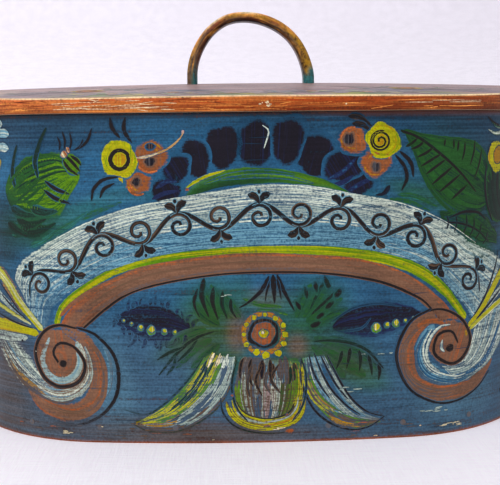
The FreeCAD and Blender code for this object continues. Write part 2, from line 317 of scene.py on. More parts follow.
def make_piece(name, points, faces, finishes, body, coats, brush, finish_index=None,
               sharp=None):
    """A piece from points in millimetres and faces, riding on a body.

    coats are the paint, streak and under colours at the points, brush is the map along and
    across the brush, at the points or at the faces' corners, and finish_index picks each
    face's finish.
    """
    mesh = bpy.data.meshes.new(name)
    faces = [f if isinstance(f, np.ndarray) else np.array(f) for f in faces]
    loops = np.concatenate([f.ravel() for f in faces]).astype(np.int32)
    totals = np.concatenate([np.full(len(f), f.shape[1]) for f in faces]).astype(np.int32)
    mesh.vertices.add(len(points))
    mesh.vertices.foreach_set("co", (np.asarray(points, float) * MM).ravel())
    mesh.loops.add(len(loops))
    mesh.loops.foreach_set("vertex_index", loops)
    mesh.polygons.add(len(totals))
    starts = np.concatenate([[0], np.cumsum(totals)[:-1]]).astype(np.int32)
    mesh.polygons.foreach_set("loop_start", starts)
    mesh.polygons.foreach_set("loop_total", totals)
    if finish_index is not None:
        mesh.polygons.foreach_set("material_index", np.asarray(finish_index, np.int32))
    for finish in finishes:
        mesh.materials.append(finish)
    brush = np.asarray(brush, float) / UV_SCALE
    corner = brush if len(brush) == len(loops) else brush[loops]
    mesh.uv_layers.new(name="brush").data.foreach_set("uv", corner.ravel())
    for label, values in zip(("paint", "streak", "under"), coats):
        attribute = mesh.color_attributes.new(name=label, type="FLOAT_COLOR", domain="POINT")
        attribute.data.foreach_set("color", np.asarray(values, float).ravel())
    mesh.update(calc_edges=True)
    mesh.validate()
    mesh.shade_smooth()
    if sharp is not None:
        mesh.set_sharp_from_angle(angle=np.radians(sharp))
    piece = bpy.data.objects.new(name, mesh)
    bpy.context.scene.collection.objects.link(piece)
    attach(piece, body)
    return piece


class Oval:
    """The band's outline: two long side arcs joined by two end arcs.

    s is the distance in millimetres along the outer face, from the front's middle to the
    right; it runs on round the box. At turn phi the outward normal is (sin phi, -cos phi).
    """

    def __init__(self, sizes):
        self.half_length = mm(sizes.half_length)
        self.half_width = mm(sizes.half_width)
        self.side = mm(sizes.side_radius)
        a, b, r = self.half_length, self.half_width, self.side
        self.end = (2 * b * r - a ** 2 - b ** 2) / (2 * (r - a))
        self.side_centre = r - b
        self.end_centre = a - self.end
        self.meet = np.arctan2(self.side_centre, self.end_centre)
        self.side_run = r * (np.pi / 2 - self.meet)
        self.end_run = self.end * 2 * self.meet
        self.round = 4 * self.side_run + 2 * self.end_run

    def turn(self, s):
        """Turn of the outward normal at s, and which arc it is on."""
        half = self.round / 2
        s = (np.asarray(s, float) + half) % self.round - half
        a = np.abs(s)
        front = a / self.side
        end = (np.pi / 2 - self.meet) + (a - self.side_run) / self.end
        back = np.pi - (half - a) / self.side
        on_front = a < self.side_run
        on_back = a > self.side_run + self.end_run
        phi = np.where(on_front, front, np.where(on_back, back, end))
        return phi, np.where(s < 0, -1.0, 1.0), on_front, on_back

    def place(self, s, out):
        """Point in plan at s, this far outside the outer face: arc centre + radius * normal."""
        phi, side, on_front, on_back = self.turn(s)
        radius = np.where(on_front | on_back, self.side, self.end)
        centre_x = np.where(on_front | on_back, 0.0, self.end_centre)
        centre_y = np.where(on_front, self.side_centre, np.where(on_back, -self.side_centre, 0.0))
        x = centre_x + (radius + out) * np.sin(phi)
        y = centre_y - (radius + out) * np.cos(phi)
        return side * x, y

    def wrap(self, s, z, out):
        """Point in space at s and height z, this far outside the outer face."""
        x, y = self.place(s, out)
        return np.stack([x, y, z + np.zeros_like(x)], -1)


# ---------------------------------------------------------------- finishes

class Finish:
    """Builds one procedural material, node by node."""

    NOISE_LOW, NOISE_HIGH = 0.28, 0.72      # where the middle range of a noise begins and ends
    SHARE, FIRST, SECOND, RESULT = 0, 6, 7, 2   # a colour Mix node's sockets, by number

    def __init__(self, name):
        self.material = bpy.data.materials.new(name)
        self.material.use_nodes = True
        self.tree = self.material.node_tree
        self.shader = self.tree.nodes["Principled BSDF"]

    def add(self, kind, sockets=None, **settings):
        """A new node with these settings; sockets take values or other nodes' outputs."""
        node = self.tree.nodes.new("ShaderNode" + kind)
        for key, value in settings.items():
            setattr(node, key, value)
        for key, value in (sockets or {}).items():
            self.feed(node.inputs[key], value)
        return node

    def feed(self, socket, value):
        """Sets a socket to a value, or links another node's output to it."""
        if isinstance(value, bpy.types.NodeSocket):
            self.tree.links.new(value, socket)
        else:
            socket.default_value = value

    def brush(self):
        """The piece's map along and across the brush."""
        return self.add("UVMap", uv_map="brush").outputs["UV"]

    def object(self):
        """Object coordinates, in metres."""
        return self.add("TexCoord").outputs["Object"]

    def attribute(self, name):
        """The colour attribute of this name: its colour and its alpha."""
        node = self.add("Attribute", attribute_name=name, attribute_type="GEOMETRY")
        return node.outputs["Color"], node.outputs["Alpha"]

    def noise(self, vector, stretch, detail=2.0, roughness=0.5, distortion=0.0):
        """Noise of the vector times stretch, its middle range spread from 0 to 1."""
        place = self.add("Mapping", {"Vector": vector, "Scale": stretch})
        node = self.add("TexNoise", {"Vector": place.outputs["Vector"], "Scale": 1.0,
                                     "Detail": detail, "Roughness": roughness,
                                     "Distortion": distortion})
        return self.span(node.outputs["Fac"], self.NOISE_LOW, self.NOISE_HIGH)

    def span(self, value, low, high, to_low=0.0, to_high=1.0):
        """Carries low..high over to to_low..to_high, held at the ends."""
        node = self.add("MapRange", {"Value": value, "From Min": low, "From Max": high,
                                     "To Min": to_low, "To Max": to_high}, clamp=True)
        return node.outputs["Result"]

    def math(self, operation, first, second):
        """Arithmetic on two values."""
        node = self.add("Math", operation=operation)
        self.feed(node.inputs[0], first)
        self.feed(node.inputs[1], second)
        return node.outputs[0]

    def blend(self, *parts):
        """Sum of values, each times its weight."""
        total = 0.0
        for value, weight in parts:
            node = self.add("Math", operation="MULTIPLY_ADD")
            self.feed(node.inputs[0], value)
            self.feed(node.inputs[1], weight)
            self.feed(node.inputs[2], total)
            total = node.outputs[0]
        return total

    def edge(self, value, middle, gain):
        """Goes from 0 to 1 round the middle value, the faster the more gain."""
        return self.span(value, middle - 0.5 / gain, middle + 0.5 / gain)

    def mix(self, share, first, second, blend="MIX"):
        """Blends two colours."""
        node = self.add("Mix", data_type="RGBA", blend_type=blend)
        self.feed(node.inputs[self.SHARE], share)
        self.feed(node.inputs[self.FIRST], first)
        self.feed(node.inputs[self.SECOND], second)
        return node.outputs[self.RESULT]

    def close(self, colour, roughness, height, distance):
        """Feeds the shader: colour, roughness and a bump this many metres high."""
        self.feed(self.shader.inputs["Base Color"], colour)
        self.feed(self.shader.inputs["Roughness"], roughness)
        bump = self.add("Bump", {"Height": height, "Distance": distance, "Strength": 1.0})
        self.tree.links.new(bump.outputs["Normal"], self.shader.inputs["Normal"])
        return self.material


def shade(colour, factor=1.0):
    """A four-number colour for a socket."""
    return tuple(float(c) * factor for c in colour) + (1.0,)


CRACK_DIRT = (0.012, 0.010, 0.010)      # scene-linear


def oil_paint(name, bristle=(1.4, 95.0), gain=3.5, gloss=0.42, shine=0.12, mottle=0.36,
              grain=(16.0, 16.0, 640.0), weave=0.5, height=0.00012):
    """Old brushed oil paint on wood.

    The paint attribute is the coat and, in its alpha, how thin it lies; the streak attribute
    is the second colour that the bristles left and how much of it there is; the under
    attribute is what shows where the coat is gone. Bristle noise is long along the brush map
    and fine across it, grain noise is long along the wood, and a speckle breaks both up.
    """
    f = Finish(name)
    brush = f.brush()
    spot = f.object()
    coat, thin = f.attribute("paint")
    streak, cover = f.attribute("streak")
    under, _ = f.attribute("under")
    fine = f.noise(brush, (bristle[0], bristle[1], 1.0))
    broad = f.noise(brush, (bristle[0] * 0.7, bristle[1] * 0.3, 1.0))
    lines = f.blend((fine, 0.55), (broad, 0.45))
    wood = f.noise(spot, grain, detail=3.0, roughness=0.6, distortion=0.5)
    speckle = f.noise(spot, (560.0, 560.0, 560.0), roughness=0.6)
    cloud = f.noise(spot, (30.0, 30.0, 30.0), detail=4.0, roughness=0.6)
    share = f.edge(f.blend((lines, 1.0), (cover, 1.0)), 1.0, gain)
    share = f.math("MULTIPLY", share, f.span(cover, 0.0, 0.04))
    colour = f.mix(share, coat, streak)
    web = f.blend((wood, 0.4), (lines, 0.25), (speckle, 0.35))
    gone = f.edge(f.math("SUBTRACT", thin, web), 0.0, 3.0)
    colour = f.mix(gone, colour, under)
    level = f.blend((cloud, mottle), (wood, weave), (speckle, weave * 0.9), (lines, 0.16))
    level = f.math("ADD", level, 1.0 - (mottle + weave * 1.9 + 0.16) / 2)
    grey = f.add("CombineColor", {"Red": level, "Green": level, "Blue": level}).outputs[0]
    colour = f.mix(1.0, colour, grey, "MULTIPLY")
    crack = f.edge(f.math("MULTIPLY", speckle, wood), 0.74, 9.0)
    colour = f.mix(f.math("MULTIPLY", crack, 0.55), colour, shade(CRACK_DIRT))
    rough = f.blend((lines, 0.14), (cloud, 0.12), (speckle, 0.08))
    rough = f.math("ADD", rough, gloss - 0.17)
    relief = f.blend((lines, 0.45), (wood, 0.25), (speckle, 0.3))
    relief = f.math("SUBTRACT", relief, f.math("MULTIPLY", gone, 0.5))
    f.feed(f.shader.inputs["Specular IOR Level"], shine)
    return f.close(colour, rough, relief, height)


def bare_wood(name, light, dark, grain, grime=0.45, gloss=0.62, height=0.0002):
    """Aged bare wood: growth-line bands stretched along the grain, pores and grime.

    grain is how the object coordinates are stretched, small along the grain, and grime is
    how much darker the dirtiest places are.
    """
    f = Finish(name)
    spot = f.object()
    bands = f.noise(spot, grain, detail=3.0, roughness=0.55, distortion=0.4)
    pores = f.noise(spot, tuple(g * 4 for g in grain))
    dirt = f.noise(spot, (14.0, 14.0, 14.0), detail=3.0)
    lines = f.blend((bands, 0.65), (pores, 0.35))
    colour = f.mix(lines, shade(dark), shade(light))
    colour = f.mix(f.span(dirt, 0.55, 1.0, 0.0, grime), colour, shade(dark, 0.6))
    rough = f.math("ADD", f.math("MULTIPLY", lines, 0.18), gloss - 0.09)
    return f.close(colour, rough, lines, height)


def linen(name, cloth):
    """Pale cloth of floor and backdrop: fine crossed threads and broad soft folds.

    Near the floor the cloth glows faintly where it is seen, and lights nothing else.
    """
    f = Finish(name)
    spot = f.object()
    warp = f.noise(spot, (500.0, 40.0, 500.0))
    weft = f.noise(spot, (40.0, 500.0, 40.0))
    fold = f.noise(spot, (5.0, 5.0, 5.0))
    threads = f.blend((warp, 0.5), (weft, 0.5))
    colour = f.mix(f.span(threads, 0.2, 0.8), shade(cloth, 0.93), shade(cloth, 1.03))
    colour = f.mix(f.span(fold, 0.0, 1.0, 0.0, 0.5), colour, shade(cloth, 0.97))
    f.feed(f.shader.inputs["Specular IOR Level"], 0.1)
    high = f.add("SeparateXYZ", {"Vector": spot}).outputs["Z"]
    glow = f.span(high, 0.0, 0.5, 0.13, 0.0)
    f.feed(f.shader.inputs["Emission Color"], shade(cloth))
    f.feed(f.shader.inputs["Emission Strength"], f.math("MULTIPLY", seen_directly(f.tree), glow))
    return f.close(colour, 0.9, threads, 0.0004)


def seen_directly(tree):
    """1 for camera, glossy and transmission rays, 0 for the rays that carry light."""
    path = tree.nodes.new("ShaderNodeLightPath")
    total = path.outputs["Is Camera Ray"]
    for ray in ("Is Glossy Ray", "Is Transmission Ray"):
        node = tree.nodes.new("ShaderNodeMath")
        node.operation = "MAXIMUM"
        tree.links.new(total, node.inputs[0])
        tree.links.new(path.outputs[ray], node.inputs[1])
        total = node.outputs[0]
    return total


# ---------------------------------------------------------------- brushwork

class Brushwork:
    """Collects the strokes of one motif and makes them one thin piece on a painted surface.

    A stroke is a grid of points in the surface's own two millimetre coordinates; the surface
    carries them into space, raised by a hair for each layer. Towards its edges the paint
    thins out over the soft width, and what is under it shows. thin is how thin it lies
    elsewhere, and cover is how much of the streak paint the bristles left.
    """

    # In millimetres: how wide a stroke's inner strips and how long its steps are at most,
    # length of the random waves along its edges, room under the layers, and their thickness
    STRIP = 2.6
    WAVE = 4.0
    ROOM = 0.10
    COAT = 0.035

    def __init__(self, paints, surface, ground, seed, step=STRIP):
        self.paints = paints
        self.surface = surface
        self.ground = ground
        self.random = np.random.default_rng(seed)
        self.step = step
        self.under = None
        self.points, self.faces, self.brushes, self.coats = [], [], [], []
        self.count = 0

    def wander(self, run):
        """A slow random wave along a run of distances, about -1 to 1."""
        knots = np.arange(0, run[-1] + 2 * self.WAVE, self.WAVE)
        return np.interp(run, knots, self.random.normal(0, 0.55, len(knots)))

    def ladder(self, wide, soft):
        """Positions across a stroke, 0 to 1, with a narrow soft strip at each edge."""
        strip = float(np.clip(soft / max(wide, 0.1), 0.05, 0.24))
        count = int(np.clip(np.ceil(wide / self.STRIP), 1, 20))
        return np.concatenate([[0], np.linspace(strip, 1 - strip, count + 1), [1]])

    def lay(self, flat, brush, along, across, edge, paint, streak, cover, layer, thin):
        """Adds one grid of flat coordinates, turned so that it faces outwards."""
        rows, columns = flat.shape[:2]
        coat = spread(self.paints.table(paint), along, across, 3).reshape(-1, 3)
        second = spread(self.paints.table(streak or paint), along, across, 3).reshape(-1, 3)
        share = spread(cover if streak else 0.0, along, across, 0).ravel()
        thin = spread(thin, along, across, 0).ravel()
        thin = thin + (0.98 - thin) * edge.ravel()
        coat = coat * (1 + 0.05 * self.random.normal())
        faces = grid_faces(rows, columns)
        flat = flat.reshape(-1, 2)
        a, b, c, d = (flat[faces[:, k]] for k in range(4))
        p, q = c - a, d - b
        turned = p[:, 0] * q[:, 1] - p[:, 1] * q[:, 0] < 0
        faces[turned] = faces[turned][:, ::-1]
        lift = self.ROOM + self.COAT * layer + 0.004 * self.random.random()
        below = self.paints(self.under) if self.under else self.ground(flat[:, 0], flat[:, 1])
        self.points.append(self.surface(flat[:, 0], flat[:, 1], lift))
        self.faces.append(faces + self.count)
        self.brushes.append(brush.reshape(-1, 2) + self.random.uniform(0, 300, 2))
        self.coats.append(coats_of(coat, thin, second, share, below))
        self.count += len(flat)

    def stroke(self, path, width, paint, streak=None, cover=0.4, layer=1, thin=0.2, soft=1.1,
               round_tips=True, wobble=0.06):
        """A ribbon: a smooth path through the points, as wide on both sides as width says."""
        centre = smooth_path(path, self.step)
        side = left_of(along_way(centre))
        run = run_of(centre)
        along = run / run[-1]
        widths = np.atleast_1d(np.asarray(width, float))
        half = np.interp(along, np.linspace(0, 1, len(widths)), widths) / 2 + soft * 0.25
        if round_tips:
            reach = np.minimum(run, run[-1] - run) + 0.12
            inside = np.clip(reach / np.maximum(half, 0.3), 0, 1)
            half = half * np.sqrt(1 - (1 - inside) ** 2)
        across = self.ladder(widths.max(), soft)
        left = half * (1 + wobble * self.wander(run))
        right = half * (1 + wobble * self.wander(run))
        reach = -right[:, None] * (1 - across) + left[:, None] * across
        flat = centre[:, None] + side[:, None] * reach[..., None]
        edge = np.zeros(reach.shape)
        edge[:, [0, -1]] = 1
        self.lay(flat, np.stack([run[:, None] + 0 * reach, reach], -1), along, across, edge,
                 paint, streak, cover, layer, thin)

    def patch(self, first, second, paint, streak=None, cover=0.4, layer=1, thin=0.2, soft=1.6,
              wobble=0.5):
        """A surface drawn between two edges: straight from each point of one to the other."""
        a, b = smooth_path(first, self.step), smooth_path(second, self.step)
        grow = np.linspace(0, 1, max(len(a), len(b)))
        a, b = resample(a, grow), resample(b, grow)
        gap = np.linalg.norm(b - a, axis=1)
        run = run_of((a + b) / 2)
        out = (b - a) / (gap[:, None] + 1e-6)
        a = a - out * wobble * self.wander(run)[:, None]
        b = b + out * wobble * self.wander(run)[:, None]
        across = self.ladder(gap.max(), soft)
        flat = a[:, None] * (1 - across[:, None]) + b[:, None] * across[:, None]
        wide = np.maximum(gap.mean(), 1.0)
        brush = np.stack([run[:, None] + 0 * across, wide * across + 0 * run[:, None]], -1)
        edge = np.zeros(flat.shape[:2])
        edge[:, [0, -1]] = 1
        edge[[0, -1], :] = 1
        self.lay(flat, brush, run / run[-1], across, edge, paint, streak, cover, layer, thin)

    def dab(self, centre, size, paint, streak=None, cover=0.4, layer=1, thin=0.2, soft=1.1,
            turn=0.0, wobble=0.07, swell=0.0):
        """A round, oval or pear-shaped touch: a square grid pressed into a disc.

        A point (a, b) of the square goes to (a sqrt(1 - b^2/2), b sqrt(1 - a^2/2)); swell
        makes the disc wider towards its top and narrower towards its foot.
        """
        half_x, half_y = (size, size) if np.isscalar(size) else size
        count = int(np.clip(np.ceil(max(half_x, half_y) / 1.1), 4, 14)) * 2 + 1
        line = np.linspace(-1, 1, count)
        a, b = np.meshgrid(line, line, indexing="ij")
        x, y = a * np.sqrt(1 - b ** 2 / 2), b * np.sqrt(1 - a ** 2 / 2)
        strip = np.clip(soft / min(half_x, half_y), 0.12, 0.5)
        edge = np.clip((np.hypot(x, y) - 1 + strip) / strip, 0, 1)
        angle = np.arctan2(y, x)
        phases = self.random.uniform(0, 2 * np.pi, 5)
        wave = sum(np.sin((k + 2) * angle + phases[k]) / (k + 2) ** 0.5 for k in range(5)) / 1.6
        x = half_x * x * (1 + wobble * wave) * (1 + swell * y)
        y = half_y * y * (1 + wobble * wave)
        turn = np.radians(turn)
        s = centre[0] + x * np.cos(turn) - y * np.sin(turn)
        z = centre[1] + x * np.sin(turn) + y * np.cos(turn)
        share = (line + 1) / 2
        self.lay(np.stack([s, z], -1), np.stack([y, x], -1), share, share, edge, paint, streak,
                 cover, layer, thin)

    def ring(self, centre, radius, width, paint, streak=None, cover=0.4, layer=1, thin=0.2,
             start=0.0, turn=365.0):
        """Part of a circle or spiral: the radius changes evenly from the first to the last."""
        angle = np.radians(np.linspace(start, start + turn, max(int(abs(turn) / 24), 4)))
        r = resample(np.atleast_1d(np.asarray(radius, float))[:, None],
                     np.linspace(0, 1, len(angle)))[:, 0]
        path = np.stack([centre[0] + r * np.cos(angle), centre[1] + r * np.sin(angle)], 1)
        self.stroke(path, width, paint, streak, cover, layer, thin, round_tips=abs(turn) < 360)

    def commas(self, paths, width, paint, *streak, **look):
        """Comma strokes: full at the head, drawn out to a hair at the tail."""
        swell = np.array([0.45, 0.9, 1.0, 0.92, 0.76, 0.56, 0.36, 0.14]) * width
        for path in paths:
            self.stroke(path, swell, paint, *streak, **look)

    def lines(self, paths, width, paint="ink", *streak, layer=4, **look):
        """Strokes of one paint and width, thin at both ends."""
        swell = np.array([0.35, 1.0, 1.1, 0.9, 0.3]) * width
        for path in paths:
            self.stroke(path, swell, paint, *streak, layer=layer, **look)

    def hatch(self, first, second, paints, count, width, layer, run=(0.0, 1.0), thin=0.3,
              soft=0.7):
        """Hair strokes side by side between two edges, each over a random part of the way.

        paints are the paints met on the way across; a stroke takes one near its place.
        """
        a, b = smooth_path(first, 2.0), smooth_path(second, 2.0)
        for k in range(count):
            place = (k + self.random.uniform(0.1, 0.9)) / count
            low = run[0] + (run[1] - run[0]) * self.random.uniform(0.0, 0.35)
            high = run[0] + (run[1] - run[0]) * self.random.uniform(0.6, 1.0)
            at = np.linspace(low, high, 8)
            path = resample(a, at) * (1 - place) + resample(b, at) * place
            pick = place * len(paints) + self.random.normal(0, 0.5)
            pick = int(np.clip(pick, 0, len(paints) - 1))
            size = width * self.random.uniform(0.6, 1.3)
            self.stroke(path, [size * 0.4, size, size, size * 0.7, size * 0.2], paints[pick],
                        layer=layer + self.random.uniform(0, 1.5), thin=thin, soft=soft,
                        wobble=0.2)

    def piece(self, name, body="box", slot="painted_band"):
        """Makes the piece from everything laid so far."""
        finish = finish_named("painted_strokes", lambda: oil_paint("painted_strokes"))
        coats = [np.concatenate(layers) for layers in zip(*self.coats)]
        return make_piece(name, np.concatenate(self.points), self.faces, [finish], body,
                          coats=coats, brush=np.concatenate(self.brushes))


def blossom(work, centre, radius, petal="yellow", streak="mustard", ring="ink", layer=4,
            spiral=False):
    """A round blossom: a ragged dab with bristle rings, a dark ring and a browner middle."""
    work.dab(centre, radius, petal, "lime", 0.36, layer, thin=0.08, soft=1.4, wobble=0.12)
    below, work.under = work.under, petal
    for k in range(11):
        work.ring(centre, radius * (0.55 + 0.032 * k), radius * 0.07,
                  ("lime", petal, streak)[k % 3], layer=layer + 1, thin=0.5,
                  start=work.random.uniform(0, 360), turn=110)
    work.dab(centre, radius * 0.42, petal, streak, 0.56, layer + 1, thin=0.14, wobble=0.1)
    if spiral:
        work.ring((centre[0] - 2, centre[1]), (radius * 0.54, radius * 0.44, radius * 0.1),
                  radius * 0.125, ring, layer=layer + 2, start=70, turn=860)
    else:
        work.ring(centre, (radius * 0.5, radius * 0.43, radius * 0.52, radius * 0.48),
                  (radius * 0.24, radius * 0.3, radius * 0.22), ring, layer=layer + 2, start=20)
    work.under = below


def lobe(work, centre, radius, eye, eye_size):
    """A small orange blossom lobe with bristle rings and a dark eye."""
    size = float(np.mean(radius))
    work.dab(centre, radius, "orange", "russet", 0.34, layer=3, soft=4.0, wobble=0.1)
    below, work.under = work.under, "orange"
    for k in range(6):
        work.ring(centre, size * (0.42 + 0.075 * k), size * 0.11,
                  ("rust", "mustard", "rim_pink")[k % 3], layer=4, thin=0.5,
                  start=work.random.uniform(0, 360), turn=90)
    work.under = "russet"
    work.dab(eye, eye_size, "plum", "smoke", layer=5, thin=0.26, soft=2.0, wobble=0.15)
    work.under = below


def fern(work, spine, rib, count, width, lean):
    """Dark ribs on both sides of a spine; lean is how far each side's ribs tilt to the tip."""
    path = smooth_path(spine, 2.0)
    way = along_way(path)
    left = left_of(way)
    work.stroke(spine, [width * 1.3, width * 1.2, width, width * 0.6], "ink", layer=4)
    for k in range(count):
        place = int((k + 0.6) / count * (len(path) - 1))
        swell = rib * (0.55 + 0.45 * np.sin(np.pi * (k + 0.8) / (count + 0.6)))
        for side, tilt in zip((1, -1), lean):
            out = left[place] * side
            tip = path[place] + (out + tilt * way[place]) * swell / np.hypot(1, tilt)
            bend = path[place] + out * swell * 0.4 + way[place] * swell * 0.3 * tilt
            work.stroke([path[place], bend, tip], [width, width * 0.9, width * 0.25], "ink",
                        layer=4)


# ---------------------------------------------------------------- shared by the operators

def builder(context):
    """Settings, paints and the band's outline of this scene."""
    scene = context.scene
    return scene.tine_sizes, Paints(scene.tine_palette), Oval(scene.tine_sizes)


def finish_named(name, make):
    """The material of this name, made the first time it is asked for."""
    found = bpy.data.materials.get(name)
    return found if found else make()


def wood_finish(paints):
    """Aged bare softwood with its grain along X."""
    return finish_named("bare_wood", lambda: bare_wood(
        "bare_wood", paints("bare"), paints("bare_dark"), (9.0, 160.0, 160.0)))


# The ground paint's soft patches: place (s, z), half size, turn in degrees, paint, strength. The
# deep blue patches near the top and the ink strips at the top, under the lid, are painted shade.
HAZES = [
    ((-30, 94), (26, 34), -8, "leaf", 1.0), ((-52, 78), (24, 9), 28, "leaf", 0.8),
    ((-24, 62), (24, 14), 30, "leaf", 0.75), ((-6, 118), (8, 14), 0, "leaf", 0.35),
    ((-40, 80), (26, 20), 20, "umber", 0.22), ((50, 104), (24, 22), 30, "leaf", 0.85),
    ((62, 66), (36, 20), -22, "leaf", 0.75), ((84, 52), (22, 10), -24, "leaf", 0.75),
    ((70, 62), (30, 14), -22, "umber", 0.2), ((30, 84), (18, 22), 0, "leaf", 0.6),
    ((35, 76), (8, 9), 0, "russet", 0.7), ((-11, 86), (8, 14), 0, "rust", 0.36),
    ((12, 110), (16, 9), 0, "lime", 0.35), ((12, 114), (13, 8), 0, "umber", 0.4),
    ((-174, 170), (32, 15), 14, "leaf", 0.9), ((-150, 168), (30, 10), 30, "leaf", 0.7),
    ((-118, 184), (32, 7), 26, "teal", 0.7), ((-78, 192), (26, 5), 8, "teal", 0.4),
    ((-198, 162), (16, 30), 0, "pine", 0.85), ((-172, 160), (26, 8), 24, "pine", 0.5),
    ((168, 210), (36, 34), -38, "leaf", 0.85), ((182, 170), (30, 24), -20, "pine", 0.85),
    ((128, 190), (26, 8), -22, "leaf", 0.7), ((186, 148), (22, 12), -28, "leaf", 0.7),
    ((208, 186), (15, 36), 0, "pine", 0.95), ((92, 190), (16, 5), -16, "teal", 0.35),
    ((-206, 40), (34, 62), -8, "smoke", 1.0), ((-176, 10), (60, 16), 0, "smoke", 0.8),
    ((-60, 8), (70, 8), 0, "smoke", 0.4), ((60, 4), (120, 4), 0, "smoke", 0.2),
    ((168, 30), (40, 20), 0, "light_blue", 0.22), ((-84, 60), (44, 34), 0, "slate", 0.4),
    ((-60, 14), (44, 9), 0, "umber", 0.4), ((0, 9), (60, 6), 0, "umber", 0.45),
    ((-60, 130), (40, 8), 14, "light_blue", 0.16), ((-192, 240), (30, 16), 0, "slate", 0.45),
    ((-150, 240), (60, 18), 0, "deep_blue", 0.55), ((178, 236), (46, 26), 0, "deep_blue", 0.85),
    ((110, 220), (26, 16), 0, "blue", 0.3), ((-216, 100), (20, 80), 0, "deep_blue", 0.3),
    ((224, 110), (26, 120), 0, "deep_blue", 0.5), ((172, 255), (72, 8), 0, "ink", 0.72),
    ((-176, 250), (60, 24), 0, "deep_blue", 0.6), ((-106, 44), (16, 40), 12, "light_blue", 0.3),
    ((-130, 250), (50, 12), 0, "ink", 0.22), ((-104, 12), (48, 13), 0, "smoke", 0.4),
    ((-48, 5), (80, 9), 0, "umber", 0.5), ((-208, 32), (30, 44), 0, "umber", 0.3),
]


def ground_colour(paints, s, z):
    """Ground paint at s and z: blue, laid over with soft oval patches of other paints.

    It goes over to slate towards the foot, darkens from left to right along the front as painted
    shade, stays half dark behind, and carries painted shade under the lid; some of the patches are
    painted shade under the lid too.
    """
    s = np.asarray(s, float)
    z = np.asarray(z, float)
    low = ramp(z, 130, 0)[..., None]
    behind = ramp(np.abs(s), 260, 360)[..., None]
    # Painted shade: the front darker to the right, as if lit from the left; half of it behind
    dark = laid(ramp(s, -60, 200)[..., None], 0.5, behind)
    colour = laid(paints("blue"), paints("deep_blue"), 0.5 * dark)
    colour = laid(colour, paints("slate"), 0.75 * low)
    # Painted shade under the lid's edge, stronger to the right
    colour = colour * (1 - ramp(z, 224, 250)[..., None] * (0.25 + 0.35 * dark))
    for (cs, cz), (rs, rz), turn, name, strength in HAZES:
        a = np.radians(turn)
        x = ((s - cs) * np.cos(a) + (z - cz) * np.sin(a)) / rs
        y = (-(s - cs) * np.sin(a) + (z - cz) * np.cos(a)) / rz
        share = strength * np.exp(-(x ** 2 + y ** 2) ** 1.5 * 0.9)[..., None]
        colour = laid(colour, paints(name), share)
    return colour


class TINE_OT_band(bpy.types.Operator):
    """Make the bent side band with its lapped and thinned ends"""

    bl_idname = "tine.band"
    bl_label = "Side band"

    # The rounding of the band's edges: height above the edge and inset, in millimetres
    EDGE_RISE = np.array([0.0, 0.25, 0.8, 1.5, 2.6])
    EDGE_INSET = np.array([0.55, 0.18, 0.0, 0.0, 0.0])
    COLUMNS, ROWS = 440, 84     # steps round the box, and up the band between its edges
    THIN_END = 1.2      # depth of the outer end's inner face under the band's outer face

    def execute(self, context):
        sizes, paints, oval = builder(context)
        height, thick = mm(sizes.band_height), mm(sizes.band_thickness)
        half = oval.round / 2
        knots, outer = lap_steps(sizes, oval)
        inner = -np.repeat([self.THIN_END, thick], (3, 4))
        s = np.union1d(np.linspace(knots[0], knots[-1], self.COLUMNS), knots)
        z_up = np.concatenate([self.EDGE_RISE, np.linspace(5, height - 5, self.ROWS),
                               (height - self.EDGE_RISE)[::-1]])
        inset = np.concatenate([self.EDGE_INSET, np.zeros(self.ROWS), self.EDGE_INSET[::-1]])
        k = len(z_up)
        out = np.interp(s, knots, outer)[:, None] - inset[None, :]
        deep = np.interp(s, knots, inner)[:, None] + inset[None, ::-1]
        points = np.concatenate([oval.wrap(s[:, None], z_up[None, :], out),
                                 oval.wrap(s[:, None], z_up[None, ::-1], deep)], 1)
        n, m = points.shape[:2]
        sides = grid_faces(n, m, closed=True)[:, ::-1]
        j = np.arange(k - 1)
        start = np.stack([j, j + 1, m - 2 - j, m - 1 - j], 1)
        end = start[:, ::-1] + (n - 1) * m
        finish_index = np.zeros(len(sides), int)
        ring = np.tile(np.arange(m), n - 1)
        finish_index[(ring >= k) & (ring < m - 2)] = 1
        finish_index = np.concatenate([finish_index, np.zeros(2 * (k - 1), int)])
        s_all, z_all = np.meshgrid(s, np.concatenate([z_up, z_up[::-1]]), indexing="ij")
        coat = ground_colour(paints, (s_all + half) % oval.round - half, z_all)
        foot = np.exp(-(z_all / 1.5) ** 2)[..., None]
        # Painted shade with dark paint: the top 5 mm under the lid's edge, near black at the left
        # and oxblood to the right
        rim = ramp(z_all, height - 5, height - 2)[..., None]
        red = ramp(s_all, 30, 90)[..., None]
        coat = laid(coat, paints("rust"), 0.85 * foot)
        coat = laid(coat, laid(paints("ink"), paints("oxblood"), red), 0.85 * rim)
        streak = laid(coat, paints.mix("blue", "light_blue", 0.3), 0.3)
        thin = 0.13 + 0.12 * ramp(z_all, 60, 0) + 0.6 * foot[..., 0] + 0.2 * rim[..., 0]
        under = laid(paints.mix("smoke", "rust", 0.4), paints("rust"), foot)
        brush = np.stack([s_all, z_all], -1)
        outside_finish = oil_paint("band_ground", bristle=(0.7, 55.0), gain=1.6, gloss=0.4,
                                   mottle=0.42, weave=0.7)
        piece = make_piece("band", points.reshape(-1, 3), [sides, start, end],
                           [outside_finish, wood_finish(paints)], "box",
                           coats=coats_of(coat.reshape(-1, 3), thin.ravel(),
                                          streak.reshape(-1, 3), 0.42, under.reshape(-1, 3)),
                           brush=brush.reshape(-1, 2), finish_index=finish_index, sharp=40)
        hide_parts("side_band")
        return {"FINISHED"}


# What a point of the lid belongs to
RIM, TOP, UNDERSIDE, ARRIS = range(4)


